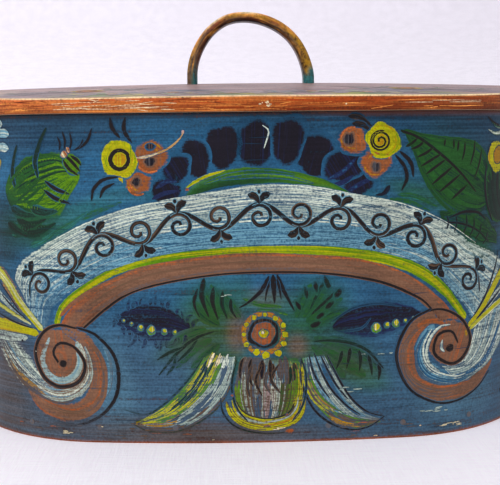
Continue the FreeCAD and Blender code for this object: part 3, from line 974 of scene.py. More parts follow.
class LidShape:
    """The lid's outline and its ridged top.

    Across the lid the top is two slopes with a rounded ridge; along it, the whole section
    turns about a far-off axis below, so that the ridge falls gently to the ends.
    """

    # In millimetres: room left at the edge for the marks painted on it, radius of the ridge's
    # rounding, half width and corner radius of the ears that hold the posts, half width and
    # depth of their slots, and how far the inner loop lies inside the band
    PAINT = 0.12
    ROUND = 60.0
    EAR_HALF, EAR_CORNER = 40.0, 6.0
    SLOT_HALF, SLOT_DEPTH = 18.0, 10.8
    WELL_INSIDE = 34.0

    def __init__(self, sizes, oval):
        self.oval = oval
        self.under = mm(sizes.band_height)
        self.reach = mm(sizes.ear_reach)
        self.out = mm(sizes.lid_overhang) - self.PAINT
        self.half = oval.half_width + self.out
        self.ridge = mm(sizes.lid_top)
        self.bow = mm(sizes.ridge_bow)
        rise = self.ridge - self.under - mm(sizes.lid_rim)
        angle = np.arctan(rise / self.half)
        self.slope = (rise + self.ROUND * (1 / np.cos(angle) - 1)) / self.half

    def top(self, x, y):
        """Height of the lid's top: sqrt((h(y) - c)^2 - x^2) + c, with h the middle section."""
        tilt = np.arctan(self.slope)
        near = self.ROUND * np.sin(tilt)
        edge = self.ridge - self.ROUND * (1 - np.cos(tilt))
        a = np.abs(y)
        arc = self.ridge - self.ROUND + np.sqrt(np.maximum(self.ROUND ** 2 - a ** 2, 0))
        section = np.where(a < near, arc, edge - (a - near) * self.slope)
        axis = self.ridge - self.bow
        return np.sqrt((section - axis) ** 2 - x ** 2) + axis

    def quarter(self):
        """Outline from the slot's floor to the back's middle, in plan."""
        end_r = self.oval.end + self.out
        side_r = self.oval.side + self.out
        ear, slot, c = self.EAR_HALF, self.SLOT_HALF, self.EAR_CORNER
        floor = self.reach - self.SLOT_DEPTH
        turn = np.radians(np.linspace(8, 82, 7))
        start = np.arcsin(ear / end_r)
        end_turn = np.linspace(start, self.oval.meet, 40)
        side_turn = np.linspace(self.oval.meet, np.pi / 2, 36)[1:]
        ear_x = self.oval.end_centre + end_r * np.cos(start)
        rows = [
            (np.full(6, floor), np.linspace(0, slot, 6)),
            (np.linspace(floor, self.reach, 6)[1:], np.full(5, slot)),
            (np.full(5, self.reach), np.linspace(slot, ear - c, 6)[1:]),
            (self.reach - c + c * np.cos(turn), ear - c + c * np.sin(turn)),
            (np.linspace(self.reach - c, ear_x, 4)[:-1], np.full(3, ear)),
            (self.oval.end_centre + end_r * np.cos(end_turn), end_r * np.sin(end_turn)),
            (side_r * np.cos(side_turn), -self.oval.side_centre + side_r * np.sin(side_turn)),
        ]
        return np.concatenate([np.stack(row, 1) for row in rows])

    def outline(self):
        """The whole outline, anticlockwise, and its outward normals."""
        q = self.quarter()
        loop = np.concatenate([q, (q[::-1] * (-1, 1))[1:], (q * (-1, -1))[1:],
                               (q[::-1] * (1, -1))[1:-1]])
        way = np.roll(loop, -1, 0) - np.roll(loop, 1, 0)
        way /= np.linalg.norm(way, axis=1)[:, None]
        return loop, -left_of(way)

    def inner_loop(self, loop):
        """A plain oval well inside, matched to the outline by the distance run round it."""
        run = run_of(loop)
        whole = run[-1] + np.linalg.norm(loop[0] - loop[-1])
        quarter = self.oval.round / 4
        x, y = self.oval.place(quarter + run / whole * self.oval.round, -self.WELL_INSIDE)
        return np.stack([x, y], 1)


class TINE_OT_lid(bpy.types.Operator):
    """Make the ridged lid: one thick plank with ears and slots for the posts"""

    bl_idname = "tine.lid"
    bl_label = "Lid"

    # Rounding of the upper and of the lower edge, in millimetres
    UPPER_EDGE, LOWER_EDGE = 1.3, 0.7

    def execute(self, context):
        sizes, paints, oval = builder(context)
        lid = LidShape(sizes, oval)
        loop, normal = lid.outline()
        inner = lid.inner_loop(loop)
        rings, kinds = [], []

        def add(plan, z, kind):
            z = np.broadcast_to(z, (len(plan),))
            rings.append(np.concatenate([plan, z[:, None]], 1))
            kinds.append(kind)

        def add_on_top(plan, kind, drop=0.0):
            add(plan, lid.top(plan[:, 0], plan[:, 1]) - drop, kind)

        for share in (0.02, 0.35, 0.7, 1.0):
            add(inner * share, lid.under, UNDERSIDE)
        for share in (0.5, 0.9):
            add(laid(inner, loop, share), lid.under, UNDERSIDE)
        add(loop - normal * self.LOWER_EDGE, lid.under, UNDERSIDE)
        add(loop - normal * 0.2, lid.under + 0.2, RIM)
        low = lid.under + self.LOWER_EDGE
        high = lid.top(loop[:, 0], loop[:, 1]) - self.UPPER_EDGE
        for share in (0.0, 0.25, 0.5, 0.75, 1.0):
            add(loop, low + (high - low) * share, RIM)
        for turn in np.radians((30, 60)):
            add_on_top(loop - normal * self.UPPER_EDGE * (1 - np.cos(turn)), ARRIS,
                       self.UPPER_EDGE * (1 - np.sin(turn)))
        for depth, kind in ((self.UPPER_EDGE, ARRIS), (2.2, TOP), (4.0, TOP)):
            edge = loop - normal * depth
            add_on_top(edge, kind)
        for share in np.linspace(0.12, 1, 9):
            add_on_top(laid(edge, inner, share), TOP)
        for share in np.linspace(1, 0.004, 34)[1:]:
            add_on_top(inner * share, TOP)
        points = np.stack(rings)
        kinds = np.array(kinds)
        n, m = points.shape[:2]
        sides = grid_faces(n, m, closed=True)
        count = n * m
        low_pole = np.array([[0.0, 0.0, lid.under]])
        high_pole = np.array([[0.0, 0.0, lid.top(0.0, 0.0)]])
        j = np.arange(m)
        fan_low = np.stack([(j + 1) % m, j, np.full(m, count)], 1)
        top_row = (n - 1) * m
        fan_high = np.stack([top_row + j, top_row + (j + 1) % m, np.full(m, count + 1)], 1)
        flat = np.concatenate([points.reshape(-1, 3), low_pole, high_pole])
        kind = np.concatenate([np.repeat(kinds, m), [UNDERSIDE, TOP]])
        faces = [sides, fan_low, fan_high]
        around = np.repeat(np.isin(kinds[:-1], (RIM, ARRIS)) & (kinds[1:] != TOP), m)
        under = np.concatenate([np.repeat(kinds[:-1] == UNDERSIDE, m), np.ones(m, bool),
                                np.zeros(m, bool)])
        finish = oil_paint("lid_worn_paint", bristle=(1.4, 80.0), gain=2.6, gloss=0.45,
                           grain=(14.0, 120.0, 620.0), mottle=0.45, weave=0.6,
                           height=0.00025)
        piece = make_piece("lid", flat, faces, [finish, wood_finish(paints)], "lid",
                           coats=self.coats(paints, flat, kind),
                           brush=self.brush_map(flat, faces, around, loop, m),
                           finish_index=under.astype(int), sharp=50)
        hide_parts("lid_board")
        return {"FINISHED"}

    def brush_map(self, flat, faces, around, loop, m):
        """Brush map at the faces' corners: round the rim it runs along the outline."""
        run = run_of(np.concatenate([loop, loop[:1]]))
        plain = flat[:, :2]
        corners = plain[faces[0]]
        column = np.tile(np.arange(m), len(faces[0]) // m)
        along = np.stack([run[column], run[column + 1], run[column + 1], run[column]], 1)
        rim = np.stack([along, flat[faces[0], 2]], -1)
        corners = np.where(around[:, None, None], rim, corners)
        return np.concatenate([corners.reshape(-1, 2)]
                              + [plain[f].reshape(-1, 2) for f in faces[1:]])

    # Patches on the worn top near the front arris: place, half size, paint and strength
    STAINS = [
        ((-215, -70), (30, 40), "cream", 0.2), ((-180, -88), (26, 30), "slate", 0.45),
        ((-146, -100), (20, 30), "teal", 0.25), ((-112, -120), (30, 20), "lime", 0.5),
        ((-86, -132), (16, 12), "yellow", 0.45), ((-48, -104), (36, 34), "slate", 0.6),
        ((-16, -134), (22, 14), "lime", 0.55), ((10, -134), (18, 14), "yellow", 0.45),
        ((60, -106), (34, 32), "slate", 0.5), ((88, -126), (20, 22), "lime", 0.6),
        ((74, -132), (12, 12), "yellow", 0.6), ((128, -96), (44, 34), "slate", 0.5),
        ((150, -116), (22, 14), "lime", 0.4), ((190, -90), (20, 28), "slate", 0.45),
        ((-60, 60), (40, 30), "slate", 0.4), ((70, 70), (46, 30), "teal", 0.3),
        ((0, 0), (220, 8), "rim_pink", 0.2), ((150, 90), (40, 16), "lime", 0.25),
        ((-150, 90), (46, 14), "rust", 0.25), ((5, 20), (60, 20), "rust", 0.25),
    ]

    def coats(self, paints, points, kind):
        """Paint at each point by its kind; the rim goes from pink at the left to dark red, lighter
        to darker as painted light and shade.
        """
        kind = kind[:, None]

        def by_kind(rim, arris, top):
            return np.where(kind == RIM, rim, np.where(kind == ARRIS, arris, top))

        x = np.clip(points[:, 0:1] / 215, -1, 1)
        # Painted light and shade: the rim's pink left end is its lit side, its dark red right end
        # its shaded side
        end = np.where(x < 0, paints("rim_pink"), paints.mix("rust", "oxblood", 0.5))
        rim = laid(paints("rim_brown"), end, np.abs(x))
        # Painted shade: the top darker to the right
        top = paints("lid_grey") * (1.0 - 0.16 * x)
        for (cx, cy), (rx, ry), name, strength in self.STAINS:
            spot = ((points[:, 0:1] - cx) / rx) ** 2 + ((points[:, 1:2] - cy) / ry) ** 2
            share = np.minimum(1.5 * strength, 0.95) * np.exp(-spot ** 1.2)
            top = laid(top, paints(name), share)
        z = points[:, 2:3]
        foot = z[kind == RIM].min()
        # Painted shade: the rim darker towards its foot, lighter up to its top edge
        rim = rim * (0.48 + 0.8 * ramp(z, foot, foot + 11.0))
        # The top edge: worn cream wood with a painted highlight on it, lifted 15%
        arris = paints.mix("cream", "tan", 0.2) * 1.15
        second = by_kind(paints.mix("tan", "rim_brown", 0.45), paints("rim_brown"),
                         paints.mix("rim_pink", "lid_grey", 0.5))
        cover = by_kind(0.4 - 0.16 * np.maximum(x, 0), 0.3, 0.34)
        below = by_kind(paints("oxblood"), paints("oxblood"), paints("slate"))
        return coats_of(by_kind(rim, arris, top), by_kind(0.2, 0.2, 0.28), second, cover, below)


class TINE_OT_handle(bpy.types.Operator):
    """Make the bent bow handle"""

    bl_idname = "tine.handle"
    bl_label = "Bow handle"

    # The bow was bent and whittled by hand: radius of the middle line and thickness, both in
    # millimetres, at angles from the right spring line
    BEND_ANGLE = (0, 20, 45, 70, 90, 105, 115, 130, 150, 180)
    BEND_RADIUS = (51.2, 49.9, 50.0, 50.6, 52.0, 53.5, 54.1, 53.5, 52.3, 51.8)
    BEND_THICK = (9.6, 9.2, 8.8, 8.6, 8.0, 7.9, 7.9, 8.0, 8.4, 8.8)
    # The section's chamfer and how far its corners are worn, in millimetres
    CHAMFER, WORN = 2.6, 1.0

    def centreline(self, sizes):
        """Two legs and a bow in the plane across Y: points, outward directions, thickness."""
        x0, r0, full = mm(sizes.bow_shift), mm(sizes.bow_radius), mm(sizes.bow_thickness)
        spring = mm(BOW_HIGH.z) - full / 2 - r0
        angle = np.linspace(0, 180, 73)
        table = smooth_path(np.stack([self.BEND_ANGLE, self.BEND_RADIUS, self.BEND_THICK], 1), 1.0)
        radius, thick = columns_at(angle, table[:, 0], table[:, 1:]).T
        a = np.radians(angle)
        bow = np.stack([x0 + radius * np.cos(a), spring + radius * np.sin(a)], 1)
        rise = np.linspace(mm(BOW_LOW.z), spring, 13)[:-1]
        foot = ramp(rise, spring, spring - 24)
        foot = foot * foot * (3 - 2 * foot)
        right = np.stack([x0 + radius[0] + (r0 - radius[0]) * foot, rise], 1)
        left = np.stack([x0 - radius[-1] - (r0 - radius[-1]) * foot, rise], 1)[::-1]
        path = np.concatenate([right, bow, left])
        thick = np.concatenate([laid(thick[0], full, foot), thick,
                                laid(thick[-1], full, foot)[::-1]])
        return path, -left_of(along_way(path)), thick / full

    def section(self, sizes):
        """Eight-sided section with worn corners: outward and sideways distances, closed."""
        x, y, c = mm(sizes.bow_thickness) / 2, mm(sizes.bow_width) / 2, self.CHAMFER
        corners = np.array([(x, -y + c), (x, y - c), (x - c, y), (c - x, y), (-x, y - c),
                            (-x, c - y), (c - x, -y), (x - c, -y)])

        def towards(neighbour):
            gap = np.linalg.norm(neighbour - corners, axis=1)[:, None]
            return corners + (neighbour - corners) / gap * np.minimum(self.WORN, gap * 0.4)

        before, after = towards(np.roll(corners, 1, 0)), towards(np.roll(corners, -1, 0))
        middle = 0.25 * before + 0.5 * corners + 0.25 * after
        return np.stack([before, middle, after], 1).reshape(-1, 2)

    def execute(self, context):
        sizes, paints, _ = builder(context)
        path, out, thick = self.centreline(sizes)
        section = self.section(sizes)
        n, m = len(path), len(section)
        plan = path[:, None] + out[:, None] * section[None, :, 0:1] * thick[:, None, None]
        across = np.broadcast_to(section[None, :, 1], (n, m))
        points = np.stack([plan[..., 0], across, plan[..., 1]], -1).reshape(-1, 3)
        sides = grid_faces(n, m, closed=True)[:, ::-1]
        foot = np.arange(m)[None, :]
        tail = foot[:, ::-1] + (n - 1) * m
        run = run_of(path)
        brush = np.stack(np.meshgrid(run, run_of(section), indexing="ij"), -1).reshape(-1, 2)
        share = np.repeat(run / run[-1], m)
        radial = np.tile(section[:, 0] / section[:, 0].max(), n)
        finish = oil_paint("handle_worn_paint", bristle=(5.0, 55.0), gain=3.2,
                           shine=0.2, grain=(220.0, 220.0, 220.0), mottle=0.5, weave=0.8,
                           height=0.0002)
        piece = make_piece("bow", points, [sides, foot, tail], [finish], "lid",
                           coats=self.coats(paints, share, radial), brush=brush, sharp=60)
        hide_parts("handle_bow")
        return {"FINISHED"}

    # Paint from the right foot over the crown to the left foot: how far along, then the paints from
    # the inner edge out to the outer edge. The near black on the inner edge round the crown is
    # painted shade under the bow; the tan and cream on the outer edge are rubbed wear with a
    # painted highlight.
    BANDS = [
        (0.00, "light_blue", "teal", "teal", "light_blue"),
        (0.18, "teal", "teal", "teal", "teal"), (0.20, "smoke", "mustard", "teal", "teal"),
        (0.22, "umber", "mustard", "mustard", "mustard"),
        (0.30, "umber", "umber", "mustard", "mustard"),
        (0.35, "oxblood", "umber", "mustard", "tan"),
        (0.40, "ink", "umber", "rust", "mustard"), (0.45, "ink", "oxblood", "mustard", "tan"),
        (0.50, "ink", "oxblood", "tan", "cream"), (0.55, "ink", "umber", "mustard", "tan"),
        (0.61, "ink", "oxblood", "rust", "cream"), (0.68, "ink", "oxblood", "umber", "tan"),
        (0.76, "oxblood", "umber", "umber", "mustard"), (0.82, "teal", "teal", "umber", "umber"),
        (1.00, "teal", "teal", "umber", "umber"),
    ]

    def coats(self, paints, share, radial):
        """Paint along and across the bow, streaked with tan and dark brown."""
        table = np.array([paints.table(row[1:]) for row in self.BANDS])
        place = np.interp(share, [row[0] for row in self.BANDS], np.arange(len(self.BANDS)))
        i = np.minimum(place.astype(int), len(self.BANDS) - 2)
        row = laid(table[i], table[i + 1], (place - i)[:, None, None])
        across = np.interp(radial, [-0.9, -0.4, 0.4, 0.8], np.arange(4))
        j = np.minimum(across.astype(int), 2)
        every = np.arange(len(row))
        coat = laid(row[every, j], row[every, j + 1], (across - j)[:, None])
        bow = ramp(share, 0.2, 0.26) * ramp(share, 0.84, 0.78)
        second = laid(paints("leaf"), paints.mix("tan", "mustard", 0.5), bow[:, None])
        return coats_of(coat, 0.28, second, 0.24 + 0.06 * bow, paints("oxblood"))


class TINE_OT_posts(bpy.types.Operator):
    """Make the two springy end posts with notch, lip and curled thumb head"""

    bl_idname = "tine.posts"
    bl_label = "End posts"

    # In millimetres: gap to the band, thickness, depth of the notch that takes the lid's end,
    # height of the head above the notch, height of the slope of its lip, how far the head
    # curls out and how high the curl is, depth of the hollow under it, half width at the
    # band's top, and radius of the round head seen from the end
    GAP, THICK, NOTCH = 0.3, 13.0, 2.5
    HEAD, LIP = 35.5, 14.0
    CURL_OUT, CURL_HIGH, HOLLOW = 6.0, 8.0, 5.0
    NECK, CROWN = 17.5, 15.5
    EDGE = 1.6          # rounding of the long edges

    def profile(self, sizes, oval):
        """Inner and outer face distance from the box's middle, and half width, by height.

        The inner face has the notch and the lip, and then leans out to the crest along an
        arc; the outer face is hollowed in a parabola and curls out round the head.
        """
        inner = oval.half_length + self.GAP
        outer = inner + self.THICK
        top, band = mm(sizes.post_top), mm(sizes.band_height)
        lip = top - self.HEAD
        head = (lip + self.LIP + top) / 2
        tip_x, tip_z, crest_x = outer + self.CURL_OUT, top - self.CURL_HIGH, outer - 3.0
        low = [1.0, 1.6, 12.5, 60, 120, 180, 225, band - 0.9, band - 0.3, band - 0.3, band + 4,
               lip - 6, lip, lip + self.LIP / 2, lip + self.LIP, head - 0.4]
        cut = [1, 0.95, 0, 0, 0, 0, 0, 0, 0.3] + 4 * [self.NOTCH] + [self.NOTCH / 2, 0, 0]
        head_z = head + (top - head) * np.sin(np.linspace(0, 1, 12) * np.pi / 2)
        lift = (head_z - head) / (top - head)
        head_in = (crest_x - inner) * (1 - np.sqrt(np.clip(1 - lift ** 1.7, 0, 1)))
        z = np.concatenate([low, head_z])
        x_in = inner + np.concatenate([cut, head_in])
        back = ramp(z, lip, tip_z)
        hollow = outer + self.CURL_OUT * back - 4 * self.HOLLOW * back * (1 - back)
        over = 1 - np.sqrt(1 - ramp(z, tip_z, top) ** 2)
        x_out = np.where(z > tip_z, tip_x - (tip_x - crest_x) * over, hollow)
        shoulder = top - self.CROWN
        half = np.interp(z, [1.0, band, shoulder],
                         [mm(sizes.post_width) / 2, self.NECK, self.CROWN])
        crown = np.sqrt(np.clip(self.CROWN ** 2 - (z - shoulder) ** 2, 0.04, None))
        return z, x_in, np.maximum(x_out, x_in + 0.3), np.where(z > shoulder, crown, half)

    def execute(self, context):
        sizes, paints, oval = builder(context)
        z, x_in, x_out, half = self.profile(sizes, oval)
        r = np.minimum(self.EDGE, np.minimum((x_out - x_in), half * 2) * 0.3)[:, None]
        middle_x, half_x = ((x_in + x_out) / 2)[:, None], ((x_out - x_in) / 2)[:, None]
        half_y = half[:, None]
        turn = np.radians((0, 30, 60, 90))
        corner = np.cos(turn), np.sin(turn)
        flat = np.linspace(0, 1, 8)[1:-1]
        ring_x, ring_y = [], []
        for sx, sy, way in ((1, 1, 1), (-1, 1, -1), (-1, -1, 1), (1, -1, -1)):
            c, d = corner[::way]
            ring_x.append(sx * (half_x - r + r * c))
            ring_y.append(sy * (half_y - r + r * d))
            if way < 0:
                end = sy * (half_y - r)
                ring_x.append(sx * half_x + 0 * flat)
                ring_y.append(laid(end, -end, flat))
        x = middle_x + np.concatenate(ring_x, 1)
        y = np.concatenate(ring_y, 1)
        right = np.stack([x, y, np.broadcast_to(z[:, None], x.shape)], -1)
        n, m = x.shape
        finish = oil_paint("post_worn_paint", bristle=(1.0, 45.0), gain=2.0, gloss=0.45,
                           shine=0.4, grain=(420.0, 420.0, 16.0), mottle=0.4, height=0.00025)
        for side, name in ((1, "right"), (-1, "left")):
            points = (right * (side, 1, 1)).reshape(-1, 3)
            faces = grid_faces(n, m, closed=True)
            caps = [np.arange(m)[None, ::-1], np.arange(m)[None, :] + (n - 1) * m]
            if side < 0:
                faces = faces[:, ::-1]
                caps = [c[:, ::-1] for c in caps]
            brush = np.stack([points[:, 2], points[:, 1] + np.abs(points[:, 0])], 1)
            piece = make_piece("post_" + name + "_dressed", points, [faces] + caps, [finish],
                               name + "_post", coats=self.coats(paints, points),
                               brush=brush, sharp=45)
            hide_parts("post_" + name)
        return {"FINISHED"}

    def coats(self, paints, points):
        """Red-brown, darker at the foot, rubbed to wood colour at the head."""
        z = points[:, 2:3]
        foot = ramp(z, 40, 0)
        coat = laid(paints.mix("rim_brown", "oxblood", 0.35), paints("oxblood"), 0.5 * foot)
        thin = 0.22 + 0.25 * ramp(z, 285, 307)
        return coats_of(coat, thin, paints.mix("oxblood", "smoke", 0.4), 0.38, paints("bare"))


class TINE_OT_fittings(bpy.types.Operator):
    """Finish the bottom board, the pegs and the root stitches"""

    bl_idname = "tine.fittings"
    bl_label = "Board, pegs and root"

    def execute(self, context):
        _, paints, _ = builder(context)
        wood = wood_finish(paints)
        peg = bare_wood("peg_wood", paints("peg"), paints("bare_dark"), (260.0, 260.0, 260.0),
                        grime=0.3, gloss=0.55)
        painted_peg = bare_wood("painted_peg", paints("slate"), paints("umber"),
                                (300.0, 300.0, 300.0), grime=0.3, gloss=0.45)
        root = bare_wood("split_root", paints("root"), paints("oxblood"), (60.0, 420.0, 420.0),
                         grime=0.3, gloss=0.5, height=0.0003)
        finishes = {"bottom_board": wood, "bottom_pegs": painted_peg, "post_peg_left": peg,
                    "post_peg_right": peg, "handle_peg_left": peg, "handle_peg_right": peg,
                    "stitches_outer_end": root, "stitches_inner_end": root}
        for name, finish in finishes.items():
            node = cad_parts[name]
            node.data.materials.clear()
            node.data.materials.append(finish)
        return {"FINISHED"}


# ---------------------------------------------------------------- the painted front

def lap_steps(sizes, oval):
    """Where the band's thickness changes along s, and how far its outer face stands off there."""
    half, lap, thinned = oval.round / 2, mm(sizes.lap_half), mm(sizes.lap_ramp)
    # Length of the outer end's tip, room where the other end begins, and step of the face
    tip, room, rise = 6, 1, 1.4
    knots = np.array([-half - lap, -half - lap + tip, -half + lap + room, -half + lap + thinned,
                      half - lap - thinned, half - lap - room, half + lap])
    return knots, np.array([0.2, rise, rise, 0.0, 0.0, -rise, -rise])


def paint(context, name, seed, strokes):
    """One painted piece on the band's outer face: its strokes laid in order, then made a piece."""
    sizes, paints, oval = builder(context)
    knots, outer = lap_steps(sizes, oval)
    outer_end = knots[0] + oval.round

    def face(s, z, lift):
        run = np.where(s > outer_end, s - oval.round, s)
        return oval.wrap(s, z, lift + np.interp(run, knots, outer))

    work = Brushwork(paints, face, lambda s, z: ground_colour(paints, s, z), seed)
    strokes(work)
    work.piece(name)


class TINE_OT_scroll(bpy.types.Operator):
    """Paint the arched scroll: pale field, vine border, yellow stripe and red-brown underside"""

    bl_idname = "tine.scroll"
    bl_label = "Arched scroll"

    def execute(self, context):
        paint(context, "scroll_field", 11, self.field)
        paint(context, "scroll_edge", 12, self.edge)
        return {"FINISHED"}

    def field(self, work):
        """The pale field: thin white bristle marks over light blue, and the vine on it."""
        upper = [(-184, 102), (-190, 121), (-186, 137), (-168, 150), (-130, 170), (-90, 184),
                 (-50, 190), (-10, 197), (30, 199), (72, 192), (110, 185), (150, 169),
                 (172, 154), (196, 145), (218, 135)]
        lower = [(-160, 88), (-151, 108), (-130, 124), (-90, 141), (-40, 151), (10, 154),
                 (60, 152), (105, 145), (140, 131), (163, 109), (184, 84)]
        foot = [(s, z - 2.6) for s, z in lower]
        work.patch(
            upper, foot,
            [["pearl", "light_blue", "light_blue", "slate"],
             ["pearl", "pearl", "light_blue", "light_blue"],
             ["chalk", "pearl", "light_blue", "light_blue"],
             ["pearl", "pearl", "light_blue", "light_blue"],
             ["pearl", "light_blue", "pearl", "light_blue"]], "chalk",
            [[0.5, 0.45, 0.4, 0.34], [0.6, 0.52, 0.45, 0.3], [0.66, 0.55, 0.46, 0.33],
             [0.64, 0.52, 0.44, 0.33], [0.5, 0.45, 0.38, 0.32]], layer=2, wobble=0.8, soft=3.6,
            thin=[[0.4, 0.5, 0.5, 0.46], [0.22, 0.4, 0.42, 0.44], [0.18, 0.34, 0.36, 0.42],
                  [0.2, 0.36, 0.4, 0.42], [0.34, 0.4, 0.4, 0.4]])
        work.hatch(upper[2:], lower[1:],
                   ["chalk", "chalk", "pearl", "chalk", "light_blue", "light_blue", "light_blue"],
                   60, 1.5, 3, thin=0.34, soft=0.8)
        work.under = "light_blue"
        self.vine(work)
        work.under = None

    def vine(self, work):
        """A running vine: a waving stem, a curl inside every bend and two leaves outside it."""
        ink = dict(paint="ink", streak="umber", thin=0.2, soft=0.8)
        middle = smooth_path([(-174, 113), (-158, 130), (-134, 145), (-95, 160), (-50, 170.5),
                              (0, 176), (45, 175.5), (95, 168), (130, 157), (158, 139),
                              (186, 111)], 1.0)
        way = along_way(middle)
        out = left_of(way)
        bends = 13
        share = np.linspace(0, 1, len(middle))
        stem = middle + out * (8.2 * np.sin(np.pi * bends * share))[:, None]
        work.stroke(stem[::4], [1.6, 4.4, 3.6, 4.4, 3.6, 4.4, 1.6], cover=0.35, layer=5, **ink)
        for k in range(bends):
            place = int((k + 0.5) / bends * (len(middle) - 1))
            side = 1 if k % 2 == 0 else -1
            up = side * out[place]
            start = np.degrees(np.arctan2(up[1], up[0])) + side * 35
            work.ring(middle[place] - up * 1.2, (9.0, 7.6, 5.4, 1.2), [2.4, 3.4, 3.4, 3.0],
                      "ink", "umber", 0.35, layer=6, start=start, turn=-side * 470)
            leaves = [[stem[place] + up * 7.6 + way[place] * drift * 8.4,
                       stem[place] + up * 5.6 + way[place] * drift * 2.8, stem[place]]
                      for drift in (-1, 1)]
            work.commas(leaves, 6.4, cover=0.3, layer=6, **ink)
            work.dab(stem[place] + up * 9.4, (1.7, 2.3), "ink", layer=6)

    def edge(self, work):
        """The yellow stripe under the field and the mottled red-brown turn of the scroll."""
        work.stroke([(-151, 91), (-145, 106), (-130, 119), (-100, 135.5), (-60, 145), (-20, 149),
                     (20, 150), (60, 148), (100, 142), (130, 131), (152, 114), (171.5, 91)],
                    [5, 6, 5.8, 6, 6.6, 9, 10, 6], "yellow", "lime", 0.52, layer=3)
        top = [(-149, 90), (-138, 107), (-110, 125.5), (-80, 137.5), (-40, 144), (0, 147),
               (40, 145.5), (80, 142), (110, 133.5), (140, 116), (168, 88)]
        low = [(-132, 86), (-119, 99.5), (-90, 118), (-60, 126.5), (-20, 132.5), (20, 133.5),
               (60, 131), (100, 124), (130, 110), (152, 85)]
        work.patch(top, low, [["rust", "russet", "russet", "oxblood"],
                              ["rust", "russet", "russet", "russet"],
                              ["rust", "russet", "russet", "oxblood"]],
                   "rust", [[0.4, 0.3, 0.35, 0.2]], layer=2)
        work.under = "russet"
        work.hatch(top, low, ["rust", "russet", "umber", "russet", "smoke", "umber"], 24, 2.0, 3,
                   thin=0.5, soft=1.4)
        work.stroke([(-130, 89), (-110, 106), (-90, 118.5), (-60, 126.5), (-20, 132), (20, 133),
                     (60, 131), (100, 123.5), (130, 110), (142, 99)],
                    [1.6, 2.2, 1.6, 1.3, 1.2, 1.7, 1.4, 2.2, 2.6, 1.6], "ink", layer=4)
        work.stroke([(-147, 99), (-137, 109), (-118, 121), (-96, 130), (-70, 136)],
                    [2.2, 3.4, 2.6, 1.2], "rust", "russet", 0.5, layer=3, thin=0.3)
        work.stroke([(70, 138), (100, 134), (125, 124), (145, 108), (158, 92)],
                    [1.2, 3, 3.6, 2.4], "rust", "russet", 0.5, layer=3, thin=0.3)


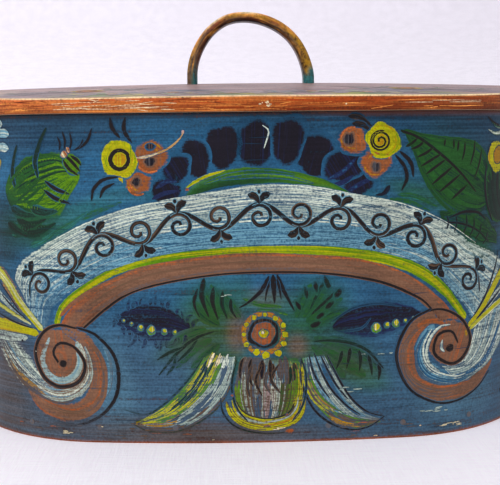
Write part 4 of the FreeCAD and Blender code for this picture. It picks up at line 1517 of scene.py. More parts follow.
class TINE_OT_volutes(bpy.types.Operator):
    """Paint the scroll's rolled ends"""

    bl_idname = "tine.volutes"
    bl_label = "Scroll volutes"

    def execute(self, context):
        paint(context, "volute_left", 21, self.left)
        paint(context, "volute_right", 22, self.right)
        return {"FINISHED"}

    def left(self, work):
        """Left roll: a red-brown band winding round a pale crescent to a dark eye."""
        work.stroke([(-212, 84), (-190, 61), (-168, 43), (-152, 38.5), (-139, 41), (-130, 49),
                     (-126.5, 62), (-133, 82)], [14, 28, 24, 17, 14, 12, 4], "pearl", "chalk",
                    [0.3, 0.5, 0.5, 0.4, 0.4, 0.35, 0.3], soft=5.0, wobble=0.1,
                    thin=[0.66, 0.48, 0.26, 0.22, 0.26, 0.34, 0.45])
        work.hatch([(-214, 92), (-188, 66), (-160, 45), (-142, 46), (-130, 58)],
                   [(-206, 62), (-184, 42), (-152, 30), (-136, 35), (-124, 50)],
                   ["pearl", "light_blue", "chalk", "smoke", "pearl", "mustard", "umber"], 44, 1.5,
                   1.5, thin=0.4)
        work.stroke([(-146, 91), (-127.5, 80), (-117.5, 57), (-123.5, 34), (-141, 23), (-166, 29),
                     (-184, 50)], [6, 12, 13, 14, 15, 12, 3], "russet", "rust", 0.3, layer=2,
                    soft=2.0, wobble=0.08, thin=0.26)
        work.dab((-149, 67.5), (22, 24), "russet", "rust", 0.28, layer=2, soft=2.0, turn=8)
        work.under = "russet"
        work.stroke([(-134, 80), (-131.5, 62), (-141, 49.5), (-156, 50), (-164, 64), (-157, 82)],
                    [4, 7.4, 7.8, 6.2, 5, 2], "pearl", "light_blue", layer=3,
                    thin=[0.3, 0.2, 0.25, 0.36, 0.46, 0.5])
        work.hatch([(-133, 80), (-129, 68), (-131, 55), (-140, 47), (-154, 45), (-168, 50)],
                   [(-127, 76), (-123, 64), (-124, 48), (-137, 36), (-154, 32), (-176, 40)],
                   ["chalk", "light_blue", "pearl", "chalk", "light_blue", "pearl"], 40, 1.9, 2.8)
        work.stroke([(-148, 62), (-144, 66), (-146, 71), (-153, 71), (-156, 65), (-153, 58),
                     (-146, 55), (-138, 60), (-137, 70)], [5, 4.6, 4, 3.4, 2.6], "rust",
                    "russet", 0.5, layer=4, thin=0.3)
        work.stroke([(-148, 60), (-154, 70), (-148, 78), (-136, 75), (-128, 62), (-134, 48),
                     (-150, 43.5), (-164, 51), (-170.5, 69), (-163, 85), (-149, 92), (-133, 90)],
                    [2.2, 2.4, 2.6, 3.4, 3.8, 3.4, 2.6, 1.6], "ink", "smoke", 0.2, layer=6)
        work.dab((-146, 62), (4.0, 3.6), "ink", layer=7)
        work.under = None
        work.stroke([(-134, 91), (-118, 84.5), (-104, 66.5), (-103, 42), (-114, 24), (-134, 14),
                     (-156, 14)], [1.8, 3.0, 3.6, 3.4, 2.6, 0.7], "ink", "smoke", 0.3, layer=6,
                    thin=[0.16, 0.16, 0.16, 0.2, 0.44, 0.7])
        work.dab((-183.5, 77), 1.3, "ink", layer=7)
        work.stroke([(-113, 78), (-108.5, 62), (-110, 44), (-119, 30)], [2, 5, 5, 2],
                    "light_blue", "smoke", layer=1.5, thin=0.5, soft=2.0)
        work.under = "russet"
        work.hatch([(-132, 84), (-118, 66), (-119, 38), (-140, 27), (-166, 34)],
                   [(-123, 84), (-112.5, 62), (-115.5, 32), (-138, 18), (-172, 26)],
                   ["rust", "smoke", "umber", "russet", "smoke"], 14, 2.4, 2.6, thin=0.5, soft=1.6)

    def right(self, work):
        """Right roll: the same, wound the other way, with a blue crescent."""
        work.stroke([(142, 90), (130, 70), (136, 53), (155, 45), (178, 47), (199, 58)],
                    [9, 16, 17, 12, 16, 10], "light_blue", "blue", soft=2.0, wobble=0.08, thin=0.3)
        work.hatch([(144, 90), (134, 72), (140, 55), (161, 46), (178, 48)],
                   [(136, 86), (127, 66), (134, 46), (162, 38), (188, 44)],
                   ["chalk", "chalk", "light_blue", "blue", "pearl", "slate"], 24, 1.6, 3, soft=1.1)
        inner = [(148, 56), (164, 55), (174, 61), (180, 76), (184, 98)]
        outer = [(160, 42), (184, 46), (206, 58), (226, 82), (236, 104)]
        work.patch(inner, outer, ["pearl", "pearl", "pearl", "light_blue"], "chalk", 0.45,
                   thin=0.4, soft=4.0)
        work.hatch(inner, outer, ["chalk", "pearl", "chalk", "light_blue", "pearl", "chalk",
                                  "blue", "chalk", "pearl"], 60, 2.0, 2, thin=0.34, soft=1.2)
        work.stroke([(163, 91), (136, 94), (120.5, 77), (122, 54), (142, 37), (165, 34.5),
                     (186, 41), (203, 54)], [12, 11, 15, 16, 16.5, 16, 12, 3], "russet", "rust",
                    0.3, layer=2, soft=1.4, wobble=0.07)
        work.dab((157, 73), (20, 19), "russet", "rust", 0.3, layer=2, turn=-20)
        work.lines([[(157, 87.5), (148, 86.5), (140, 79), (136.5, 68), (139, 58), (148, 51)],
                    [(152, 66), (149, 70), (150, 76)]], 2.6, "pearl", "chalk", 0.5, thin=0.35)
        work.under = "russet"
        work.stroke([(130, 98), (146, 100.5), (160, 96), (171, 87), (176.5, 73.5), (169, 60),
                     (157, 56.5), (143, 66), (146, 80), (158, 82), (164.5, 72)],
                    [1.2, 1.8, 2.4, 3.2, 3.4, 3.0, 3.0, 2.6, 2.0], "ink", "smoke", 0.2, layer=6)
        work.under = None
        work.stroke([(140, 101.5), (122, 91), (112, 66), (122, 40), (143, 27), (163, 25.5),
                     (184, 32.5), (200, 45)], [1.6, 2.8, 2.8, 2.3, 2.0, 1.6, 0.8], "ink", "smoke",
                    0.2, layer=6)
        work.under = "russet"
        work.lines([[(126, 84), (132, 90), (142, 92), (152, 88)],
                    [(119, 70), (120, 54), (128, 42)]],
                   4.0, "rust", "orange", 0.5, layer=3, thin=0.4, soft=2.0)
        work.dab((173, 80), (2.6, 4.2), "mustard", "lime", layer=5, thin=0.3, turn=-20)
        work.dab((156.5, 69), (4.4, 4.0), "ink", layer=7)
        work.hatch([(140, 92), (124, 74), (128, 52), (150, 41), (180, 42)],
                   [(132, 94), (116, 70), (122, 42), (150, 30), (184, 36)],
                   ["rust", "umber", "smoke", "russet", "smoke"], 16, 2.4, 2.6, thin=0.5, soft=1.6)


class TINE_OT_strands(bpy.types.Operator):
    """Paint the yellow strands that leave the scroll's ends"""

    bl_idname = "tine.strands"
    bl_label = "Yellow strands"

    def execute(self, context):
        paint(context, "strands", 31, self.strands)
        return {"FINISHED"}

    def strands(self, work):
        """Broad yellow and pearl strokes, thin liner strokes between them."""
        work.stroke([(-206, 134), (-198, 122), (-188, 110), (-176, 98)], [8, 16, 14, 5], "russet",
                    "mustard", layer=3, thin=0.3, soft=4.0)
        for path, width, streak, layer in (
                ([(-224, 140), (-200, 124.5), (-185, 108), (-163, 87)], [11, 8, 7, 5], "chalk", 4),
                ([(-226, 108), (-208, 103), (-190, 97), (-174, 91)], [5, 4, 3.4, 1.6], "chalk", 4),
                ([(-236, 87), (-205, 88), (-184, 87), (-167, 84)],
                 [9, 10.4, 9.4, 5.4], "mustard", 5),
                ([(174, 84), (190, 98), (209, 119), (226, 134)], [4, 5.6, 6.4, 9], "mustard", 4),
                ([(176, 82), (192, 91), (214, 100), (234, 101)], [3.4, 5, 5.5, 7], "chalk", 5)):
            work.stroke(path, width, "yellow", streak, 0.34, layer=layer)
        for path, width in (([(-232, 118), (-212, 113), (-196, 104), (-182, 95)], [9, 7, 6, 3]),
                            ([(-228, 78), (-210, 79), (-192, 79), (-178, 80)], [10, 9, 8, 4]),
                            ([(182, 90), (195, 98), (210, 108), (228, 117)], [2, 5, 6, 9])):
            work.stroke(path, width, "pearl", "chalk", layer=3, thin=0.42)
        work.lines([[(-206, 112), (-192, 102.5), (-179, 95)],
                    [(-214, 97), (-192, 91.5), (-172, 88)],
                    [(-208, 122), (-196, 111), (-186, 101)]], 1.2, layer=6)
        work.lines([[(180, 92), (189, 102), (197, 113), (206, 131), (209, 142)],
                    [(183, 89), (197, 99), (214, 110)]], 1.7, layer=6)


class TINE_OT_petal_fan(bpy.types.Operator):
    """Paint the fan of dark petals over the scroll and its green crescent"""

    bl_idname = "tine.petal_fan"
    bl_label = "Petal fan"

    # Middle, half size and turn in degrees of each petal, from left to right
    PETALS = [((-62, 194.5), (14, 12), 24), ((-54.5, 211), (13.4, 11.4), 30),
              ((-40, 218), (13, 17), 10), ((-19.5, 226.5), (15, 18.4), 4),
              ((5, 228.5), (15.4, 19.4), -2), ((28.5, 230), (14.4, 19.8), -4),
              ((48.4, 219.8), (18.8, 17.4), -14), ((71, 212), (18, 14), 30),
              ((82.5, 198.5), (16.2, 10.6), 18)]

    def execute(self, context):
        paint(context, "petal_fan", 41, self.fan)
        return {"FINISHED"}

    def fan(self, work):
        """Plum petals with a violet haze at their edges, and the crescent under them."""
        for k, ((s, z), (wide, high), turn) in enumerate(self.PETALS):
            outer = k in (0, 1, 7, 8)
            work.dab((s, z), (wide * 1.1, high * 1.1), "violet", "plum", 0.3,
                     thin=0.26 if outer else 0.4, soft=5.0, turn=turn, wobble=0.1, swell=0.14)
            work.dab((s, z + 0.6), (wide, high), "plum", "violet", 0.34 if outer else 0.22, layer=2,
                     thin=0.12, soft=4.2, turn=turn, wobble=0.1, swell=0.12)
        work.under = "violet"
        work.lines([[(-73, 189), (-64, 193), (-54, 195)], [(-70, 197), (-62, 202), (-54, 202)],
                    [(58, 202), (70, 208), (80, 218)], [(72, 192), (84, 199), (95, 204)],
                    [(62, 198), (70, 200), (78, 205)]], 2.4, "blue", "violet", 0.5, layer=3,
                   thin=0.6, soft=2.0)
        work.under = None
        work.dab((-48.5, 216), (8.5, 6.5), "plum", "violet", 0.3, layer=2, soft=3.0, turn=24)
        work.commas([[(106, 197), (101, 191), (95, 190)]], 5.0, "plum", "deep_blue", 0.3, layer=2)
        outer = [(-50, 189), (-44, 197), (-34, 204.5), (-20, 210.5), (0, 212.5), (22, 211.5),
                 (42, 207), (60, 201), (78, 191)]
        inner = [(-50, 187), (-32, 194), (0, 199), (40, 198.5), (78, 189.5)]
        work.patch(outer, inner, [["teal", "leaf", "leaf"], ["lime", "leaf", "pine"],
                                  ["leaf", "leaf", "leaf"], ["leaf", "lime", "leaf"],
                                  ["leaf", "leaf", "teal"]], "lime", [[0.3, 0.2, 0.16]], layer=3,
                   thin=[[0.04, 0.0, 0.16]])
        work.lines([[(-48, 196.5), (-40, 202), (-30, 206.5), (-18, 210)]], 2.4, "yellow", "lime",
                   0.3)
        work.lines([[(-22, 203), (2, 205.5), (26, 204.5), (48, 199.5)],
                    [(-34, 200), (-14, 206.5), (10, 208.5), (34, 206)]], 3.0, "lime", "leaf", 0.5,
                   thin=0.34)
        work.dab((-46.5, 196), (1.8, 1.4), "rust", layer=5)
        work.lines([[(10, 243), (14.5, 239), (13, 232), (11, 226)]], 0.9, "chalk", "light_blue",
                   0.3, layer=5)


class TINE_OT_blossoms(bpy.types.Operator):
    """Paint the ringed blossoms on both sides of the petal fan"""

    bl_idname = "tine.blossoms"
    bl_label = "Blossoms"

    def execute(self, context):
        paint(context, "blossom_left", 51, self.left)
        paint(context, "blossom_right", 52, self.right)
        return {"FINISHED"}

    def left(self, work):
        """A yellow blossom with a black ring, two orange lobes and a long stamen."""
        lobe(work, (-73.5, 220.5), (14.8, 13.8), (-74, 217), 4.8)
        work.dab((-73.5, 228), (4.2, 3.2), "plum", "russet", 0.3, layer=6, thin=0.34)
        work.dab((-91, 207), (8, 8), "yellow", "mustard", 0.35, layer=2, thin=0.16)
        lobe(work, (-83, 201), (12, 10.2), (-84.5, 202), 4.4)
        blossom(work, (-97, 219), 14.6)
        work.lines([[(-80, 221), (-70, 222.5), (-60, 226.5), (-52, 233), (-48.5, 238)]], 1.4,
                   "bare", "mustard", 0.45, layer=7)
        work.lines([[(-84, 220), (-76, 220.5), (-68, 223)]], 1.5, "cream", "orange", layer=7)
        work.dab((-49, 238.5), (1.5, 2.1), "lid_grey", "tan", 0.5, layer=7, turn=-20)
        work.lines([[(-103, 250), (-101.5, 242), (-96, 234.5)],
                    [(-91.5, 250), (-93, 242), (-91, 236.5), (-87, 231)]], 3.7, layer=3)
        work.lines([[(-119, 188), (-117, 197), (-109, 204), (-97, 206)],
                    [(-112.5, 190), (-109, 197), (-101, 201)]], 3.0, layer=3)

    def right(self, work):
        """The same, with a fine spiral for a ring and dark leaves beside it."""
        lobe(work, (78, 231), (13, 12), (74.5, 232), (4.8, 6.2))
        lobe(work, (95.4, 214.6), (13.6, 13.2), (95, 211), 4.6)
        blossom(work, (100.5, 230.5), 14, spiral=True)
        work.commas([[(74, 249), (83, 248), (92, 241)], [(77, 243.5), (85, 242.5), (92, 237)],
                     [(82, 247), (88, 243), (93, 238)]], 5.6, "ink", "umber", 0.35, layer=3,
                    thin=0.24, soft=1.8)
        work.lines([[(110, 220), (117, 211), (119, 202), (115, 193)],
                    [(113, 223), (122, 214), (124, 203)]], 3.6, layer=3)


class TINE_OT_foliage(bpy.types.Operator):
    """Paint the big leaf, the striped bud and the edge flowers"""

    bl_idname = "tine.foliage"
    bl_label = "Leaf and bud"

    def execute(self, context):
        paint(context, "bud_left", 61, self.bud)
        paint(context, "leaf_right", 62, self.leaf)
        paint(context, "edge_flowers", 63, self.edge_flowers)
        return {"FINISHED"}

    def bud(self, work):
        """A round green bud with dark stripes and a tufted stub, over dark foot leaves."""
        upper = [(-196, 197), (-190, 209), (-178, 219), (-164, 225), (-150, 225.5), (-137, 223),
                 (-129, 214), (-127, 205)]
        lower = [(-196, 195), (-192, 183), (-180, 175), (-166, 173), (-154, 174), (-144, 175),
                 (-137, 189), (-128, 203)]
        work.patch(upper, lower,
                   [["leaf", "leaf", "leaf", "pine"], ["leaf", "lime", "leaf", "pine"],
                    ["leaf", "lime", "lime", "leaf"], ["lime", "lime", "lime", "lime"]],
                   "leaf", [[0.32, 0.24, 0.3, 0.24], [0.34, 0.24, 0.26, 0.3]], layer=3, soft=3.0,
                   wobble=1.3, thin=[[0.2, 0.12, 0.14, 0.4], [0.14, 0.08, 0.08, 0.24]])
        work.under = "leaf"
        work.hatch([(-193, 200), (-180, 214), (-164, 222), (-146, 223), (-132, 212)],
                   [(-186, 182), (-166, 178), (-152, 178), (-142, 184), (-130, 204)],
                   ["leaf", "lime", "pine", "lime", "leaf", "lime", "lime", "lime", "lime"],
                   40, 2.4, 3.5, thin=0.28, soft=1.0)
        work.hatch([(-196, 190), (-190, 206), (-178, 216), (-164, 221)],
                   [(-184, 180), (-172, 182), (-160, 188), (-150, 200)],
                   ["pine", "leaf", "pine", "leaf"], 10, 2.2, 4, thin=0.55, soft=1.4)
        work.lines([[(-170, 217), (-158, 219), (-146, 221)],
                    [(-160, 184), (-148, 189), (-138, 198)],
                    [(-184, 206), (-170, 214), (-152, 216)]], 1.8, "lime", "yellow", thin=0.3)
        work.under = None
        work.lines([[(-162, 205), (-164, 218), (-159, 232), (-153, 243)],
                    [(-184, 196), (-187, 208), (-184, 222), (-181, 230)]], 3.6, "pine", "ink",
                   0.3, layer=5, thin=0.26, soft=2.4)
        work.lines([[(-156, 203), (-147, 197), (-136, 193)],
                    [(-157, 196), (-148, 190), (-136, 186)]], 3.2, layer=5)
        work.dab((-133.5, 215.5), (6.8, 8.8), "lime", "leaf", layer=5, turn=18)
        work.under = "lime"
        work.lines([[(-140, 219), (-136, 212.5), (-128.5, 207)],
                    [(-139, 223), (-132, 216), (-127, 210)],
                    [(-134, 222), (-129, 218.5), (-126, 214.5)]], 2.9, layer=6)
        work.under = None
        work.dab((-139, 223), (3.8, 3.0), "cream", "orange", 0.5, layer=6, turn=35)
        work.dab((-136, 226), (2.0, 3.2), "orange", "cream", 0.35, layer=7, turn=20)
        work.lines([[(-143, 226), (-142, 231), (-144, 236)],
                    [(-139, 227), (-138, 233), (-140, 240)],
                    [(-135, 226), (-133, 232), (-134, 239)],
                    [(-131, 226), (-126, 229), (-124, 234)]], 1.6, layer=5)
        work.lines([[(-127, 227), (-120.5, 233), (-117, 242)]], 2.4, layer=5)
        work.commas([[(-190, 182), (-178, 177), (-164, 176)],
                     [(-184, 173), (-172, 169), (-156, 174)],
                     [(-176, 162), (-164, 163), (-148, 171)],
                     [(-170, 182), (-158, 179), (-146, 180)],
                     [(-182, 165), (-170, 166), (-154, 168)],
                     [(-194, 170), (-184, 164), (-172, 160)]],
                    8.0, "pine", "ink", 0.45, layer=5, thin=0.36, soft=2.4)
        work.commas([[(-190, 160), (-178, 164), (-166, 174)],
                     [(-172, 152), (-158, 158), (-146, 167)],
                     [(-150, 162), (-136, 170), (-122, 180)],
                     [(-128, 174), (-112, 181), (-96, 187)]],
                    6.0, "leaf", "teal", layer=2, thin=0.46, soft=2.0)

    def leaf(self, work):
        """A broad ribbed leaf, darker leaves below and beyond it."""
        upper = [(117, 239), (128, 236), (143, 234), (160, 232), (178, 229), (190, 220),
                 (197, 206), (199, 192)]
        lower = [(117, 237), (123, 225), (130, 207), (139, 192), (150, 180), (165, 172),
                 (184, 172), (199, 184)]
        work.patch(upper, lower, [["leaf", "leaf", "pine"], ["leaf", "leaf", "leaf"],
                                  ["pine", "leaf", "pine"], ["pine", "pine", "pine"]],
                   "pine", 0.45, soft=8.0, wobble=2.2)
        work.under = "leaf"
        work.hatch(upper, lower, ["pine", "leaf", "pine", "leaf", "pine"], 26, 2.4, 2, thin=0.5,
                   soft=1.6)
        work.stroke([(114, 238), (128, 232.5), (146, 220), (164, 205.5), (180, 190)],
                    [2.4, 3.0, 2.6, 1.4], "ink", "pine", 0.3, layer=4)
        work.lines([[(127, 232), (122, 228), (118, 226)], [(133, 230), (127.6, 226), (122, 224)],
                    [(140, 225), (134, 221), (127, 218)], [(146.5, 220), (139, 216), (130, 211)],
                    [(151, 216), (143, 211), (134, 205)], [(156.5, 210), (149, 204.5), (139, 197)],
                    [(163.7, 204), (155, 198), (145, 191)], [(171, 196), (164, 191), (156, 185)]],
                   2.4)
        work.lines([[(150, 231), (149, 226)], [(157.5, 231), (157.5, 224)],
                    [(162, 230), (161, 222)], [(168, 229), (167.5, 222), (165.5, 215)],
                    [(178, 230), (177, 221), (173.5, 211)],
                    [(185.5, 223), (183, 212), (178, 200)]], 1.9)
        work.stroke([(203, 216), (201, 196), (204, 180), (213, 166)], [10, 20, 22, 14], "pine",
                    "ink", layer=3, thin=0.1, soft=5.0)
        work.under = None
        work.lines([[(191.5, 212), (190, 196), (193, 180), (200, 166)]], 2.4, layer=5)
        work.patch([(144, 177), (160, 178), (178, 176), (196, 168), (208, 154)],
                   [(146, 170), (160, 161), (176, 153), (190, 149), (208, 148)],
                   [["pine", "pine"], ["leaf", "pine"], ["pine", "pine"]], "leaf", wobble=1.4)
        work.lines([[(154, 171), (168, 175), (182, 174), (192, 168)]], 2.4, layer=5)
        work.lines([[(150, 172), (166, 168), (184, 158)], [(158, 166), (172, 162), (190, 152)],
                    [(166, 176), (184, 170), (200, 158)]], 2.6, "leaf", "pine", layer=3, thin=0.4)
        fern(work, [(150, 168), (166, 166), (182, 160), (196, 150)], rib=8, count=6, width=1.4,
             lean=(-0.4, -0.2))
        work.commas([[(112, 190), (126, 188), (144, 180)], [(106, 187), (122, 184), (138, 177)]],
                    5.0, "leaf", "teal", layer=2, thin=0.36)

    def edge_flowers(self, work):
        """The flowers that stand at both ends of the front."""
        work.dab((204, 217), (11.5, 13), "yellow", "mustard", 0.35, layer=5)
        work.dab((206, 218), (6.5, 7.5), "mustard", "rust", 0.35, layer=6)
        work.commas([[(214, 236), (202, 235), (193, 238)], [(216, 242), (206, 240), (196, 244)]],
                    3.8, "chalk", "leaf", 0.5, layer=5, thin=0.3)
        work.lines([[(192, 248), (200, 243), (212, 240)]], 2.2, layer=5)
        work.dab((-208, 216), (9, 8), "mustard", "yellow", layer=4)
        work.dab((-209, 216), (4.6, 4.6), "rust", "mustard", 0.3, layer=5)
        work.commas([[(-189, 238), (-198, 239), (-210, 236)],
                     [(-190, 227), (-199, 228.5), (-211, 226)],
                     [(-196, 246), (-203, 246), (-212, 243)]], 8.2, "chalk", "light_blue", 0.5,
                    layer=6, thin=0.26)


class TINE_OT_pods(bpy.types.Operator):
    """Paint the dark dotted pods and the fern sprays under the scroll"""

    bl_idname = "tine.pods"
    bl_label = "Pods and sprays"

    def execute(self, context):
        paint(context, "pods", 71, self.pods)
        paint(context, "sprays", 72, self.sprays)
        return {"FINISHED"}

    def pods(self, work):
        """Two dark pods, each with a row of yellow dots; hairs stand round the left one."""
        upper = [(-104, 96), (-97, 105), (-85, 111), (-70, 111), (-54, 103), (-40, 88)]
        lower = [(-104, 94), (-94, 87), (-82, 80), (-70, 77.5), (-56, 80), (-40, 86)]
        self.pod(work, upper, lower)
        self.pod(work, [(61, 90), (68, 99), (82, 108), (98, 111), (115, 108), (136, 98)],
                 [(61, 88), (76, 81), (92, 78), (108, 82), (122, 90), (136, 97)])
        for edge, way in ((upper, 1), (lower, -1)):
            path = smooth_path(edge, 2.0)
            for k in range(14):
                foot = path[int((k + work.random.uniform(0.0, 1.6)) / 16 * len(path))]
                drift = work.random.uniform(-3, 7) - 5 * (way < 0)
                high = work.random.uniform(0.5, 3.0 + 4.5 * work.random.random()) * way
                work.commas([[foot - (0, 3.5 * way), foot + (drift * 0.3, high * 0.4),
                              foot + (drift, high)]], work.random.uniform(1.8, 5.0), "plum",
                            "violet", layer=2, thin=0.48, soft=2.4)
        for s, z, radius in ((-97, 96.5, 1.8), (-91, 94, 2.0), (-84, 91, 3.1), (-76, 89, 4.3),
                             (-66, 88, 3.0), (-58, 87.5, 2.3), (96, 88, 4.7), (104.5, 90, 3.0),
                             (111.5, 91, 3.8), (119, 93, 2.1), (125, 95, 1.5)):
            work.dab((s, z), (radius * 0.9, radius), "lime", "leaf", 0.3, layer=4)
            work.dab((s + radius * 0.1, z + radius * 0.2), radius * 0.68, "yellow", "cream", 0.25,
                     layer=5)
        work.lines([[(62, 94), (78, 104), (97, 107), (116, 104)], [(66, 86), (84, 88), (92, 96)]],
                   1.6, "deep_blue", layer=3, thin=0.4)

    def pod(self, work, upper, lower):
        """A dark pod between two edges, its lower side fading."""
        work.patch(upper, lower, [["plum", "plum", "plum"], ["plum", "plum", "violet"]], "violet",
                   [[0.45, 0.3, 0.5]], soft=4.0, wobble=1.2, thin=[[0.36, 0.28, 0.46]])

    def sprays(self, work):
        """Fern sprays on both sides of the rosette: hazy green strokes, dark ones over them."""
        haze = dict(paint="leaf", streak="pine", layer=2, thin=0.5, soft=3.6)
        for path in ([(-38, 126), (-33, 112), (-24, 98)], [(-30, 124), (-24, 112), (-14, 98)],
                     [(-44, 112), (-36, 101), (-24, 93)], [(-20, 116), (-14, 106), (-8, 98)],
                     [(-30, 82), (-44, 74), (-58, 60)], [(-24, 78), (-36, 68), (-46, 60)],
                     [(-34, 90), (-50, 84), (-64, 76)], [(-22, 70), (-34, 58), (-50, 48)],
                     [(60, 126), (50, 112), (40, 98)], [(70, 112), (56, 104), (42, 94)],
                     [(46, 124), (40, 110), (34, 98)], [(74, 104), (58, 98), (44, 90)],
                     [(48, 82), (66, 76), (86, 66), (98, 56)], [(54, 74), (70, 64), (88, 50)],
                     [(46, 76), (58, 64), (72, 50)], [(60, 82), (80, 74), (100, 54)]):
            work.stroke(path, [2.5, 8, 9, 3], **haze)
        for path, width in (([(-35, 129), (-37, 115), (-32, 99)], 5.6),
                            ([(-28, 122), (-29, 111), (-25, 97)], 4.6),
                            ([(-21, 119), (-22, 109), (-18, 98)], 4.2),
                            ([(-15, 113), (-15, 105), (-11, 98)], 3.4),
                            ([(-40, 121), (-43, 110), (-39, 99)], 3.2),
                            ([(69.7, 71), (68, 64), (65, 57)], 3.4),
                            ([(76, 73), (75, 66), (73, 57)], 3.6),
                            ([(83, 71), (84, 63), (83, 55)], 3.6),
                            ([(90, 67), (92, 59), (93, 51)], 3.4),
                            ([(98, 61), (99, 54), (98, 47)], 3.6)):
            work.commas([path], width, "ink", "pine", 0.45, layer=3, thin=0.28, soft=1.4)
        work.lines([[(-28, 88), (-42, 83), (-56, 72), (-71, 54)], [(-40, 84), (-46, 75), (-57, 64)],
                    [(-52, 76), (-62, 72), (-72, 66)], [(-58, 70), (-59, 62), (-65, 54)],
                    [(48, 79), (60, 79.5), (76, 77), (90, 70), (102, 56)],
                    [(58, 128), (52, 118), (45, 104)], [(66, 118), (57, 110), (46, 100)]],
                   2.8, "pine", "ink", 0.5, layer=3, thin=0.34, soft=1.4)
        for centre, size, turn in (((58, 124), (2.8, 7.4), 20), ((66.5, 116), (3.2, 5.6), -36),
                                   ((60, 107), (2.8, 5.8), -50), ((42, 117), (2.4, 6.4), 12),
                                   ((36, 107), (2.2, 5.6), 26), ((49, 92), (3.0, 6.0), -62),
                                   ((53, 99), (2.4, 5.0), -56), ((49.5, 121), (2.4, 6.4), 8)):
            work.dab(centre, size, "ink", "pine", layer=4, thin=0.26, turn=turn, soft=1.4)


class TINE_OT_rosette(bpy.types.Operator):
    """Paint the rosette under the scroll and its three dark sepals"""

    bl_idname = "tine.rosette"
    bl_label = "Rosette"

    def execute(self, context):
        paint(context, "rosette", 81, self.rosette)
        return {"FINISHED"}

    def rosette(self, work):
        """Dark sepals, a soft orange-brown ground, a black ring and a wreath of yellow dots."""
        for path, width in (([(17, 131), (17.5, 121), (18, 109)], 5.4),
                            ([(14, 130), (8, 119), (-2, 110), (-9, 106)], 3.8),
                            ([(20, 131), (24, 121), (28, 113), (33, 103)], 4.0),
                            ([(15, 127), (12, 118), (11, 111)], 2.4),
                            ([(20, 128), (22, 119), (23, 112)], 2.4)):
            work.commas([path], width, "ink", "plum", 0.3, layer=3)
        centre = (9.5, 86)
        work.dab(centre, (19, 18.5), "rust", "umber", 0.5, layer=3, thin=0.34, soft=6.0)
        work.ring(centre, 15.2, 4.6, "mustard", "rust", 0.5, layer=4, thin=0.34, start=10)
        work.dab(centre, (12.4, 12.8), "ink", "umber", 0.3, layer=5, thin=0.15)
        work.dab(centre, (9.2, 9.6), "russet", "rust", 0.5, layer=6)
        work.dab(centre, (4.2, 4.0), "yellow", "mustard", 0.3, layer=7)
        work.dab((8.9, 86.9), 1.4, "cream", "yellow", layer=8)
        for s, z, radius in ((4, 71.5, 3.2), (11, 69.0, 3.5), (20.5, 70.5, 3.2), (24.8, 78, 2.8),
                             (26, 85, 3.0), (24.5, 92, 2.7), (18.5, 97.5, 2.6), (10.5, 100.5, 2.3),
                             (2.5, 98.5, 2.6), (-3.5, 93, 2.4), (-5.6, 85.5, 2.2),
                             (-3.6, 77.5, 2.7)):
            work.dab((s, z), radius, "yellow", "mustard", 0.35, layer=6, wobble=0.15)
        work.lines([[(-6, 113), (8, 108), (24, 106)], [(4, 104), (14, 104), (28, 100)]], 4.0,
                   "leaf", "lime", layer=2, thin=0.4, soft=2.0)


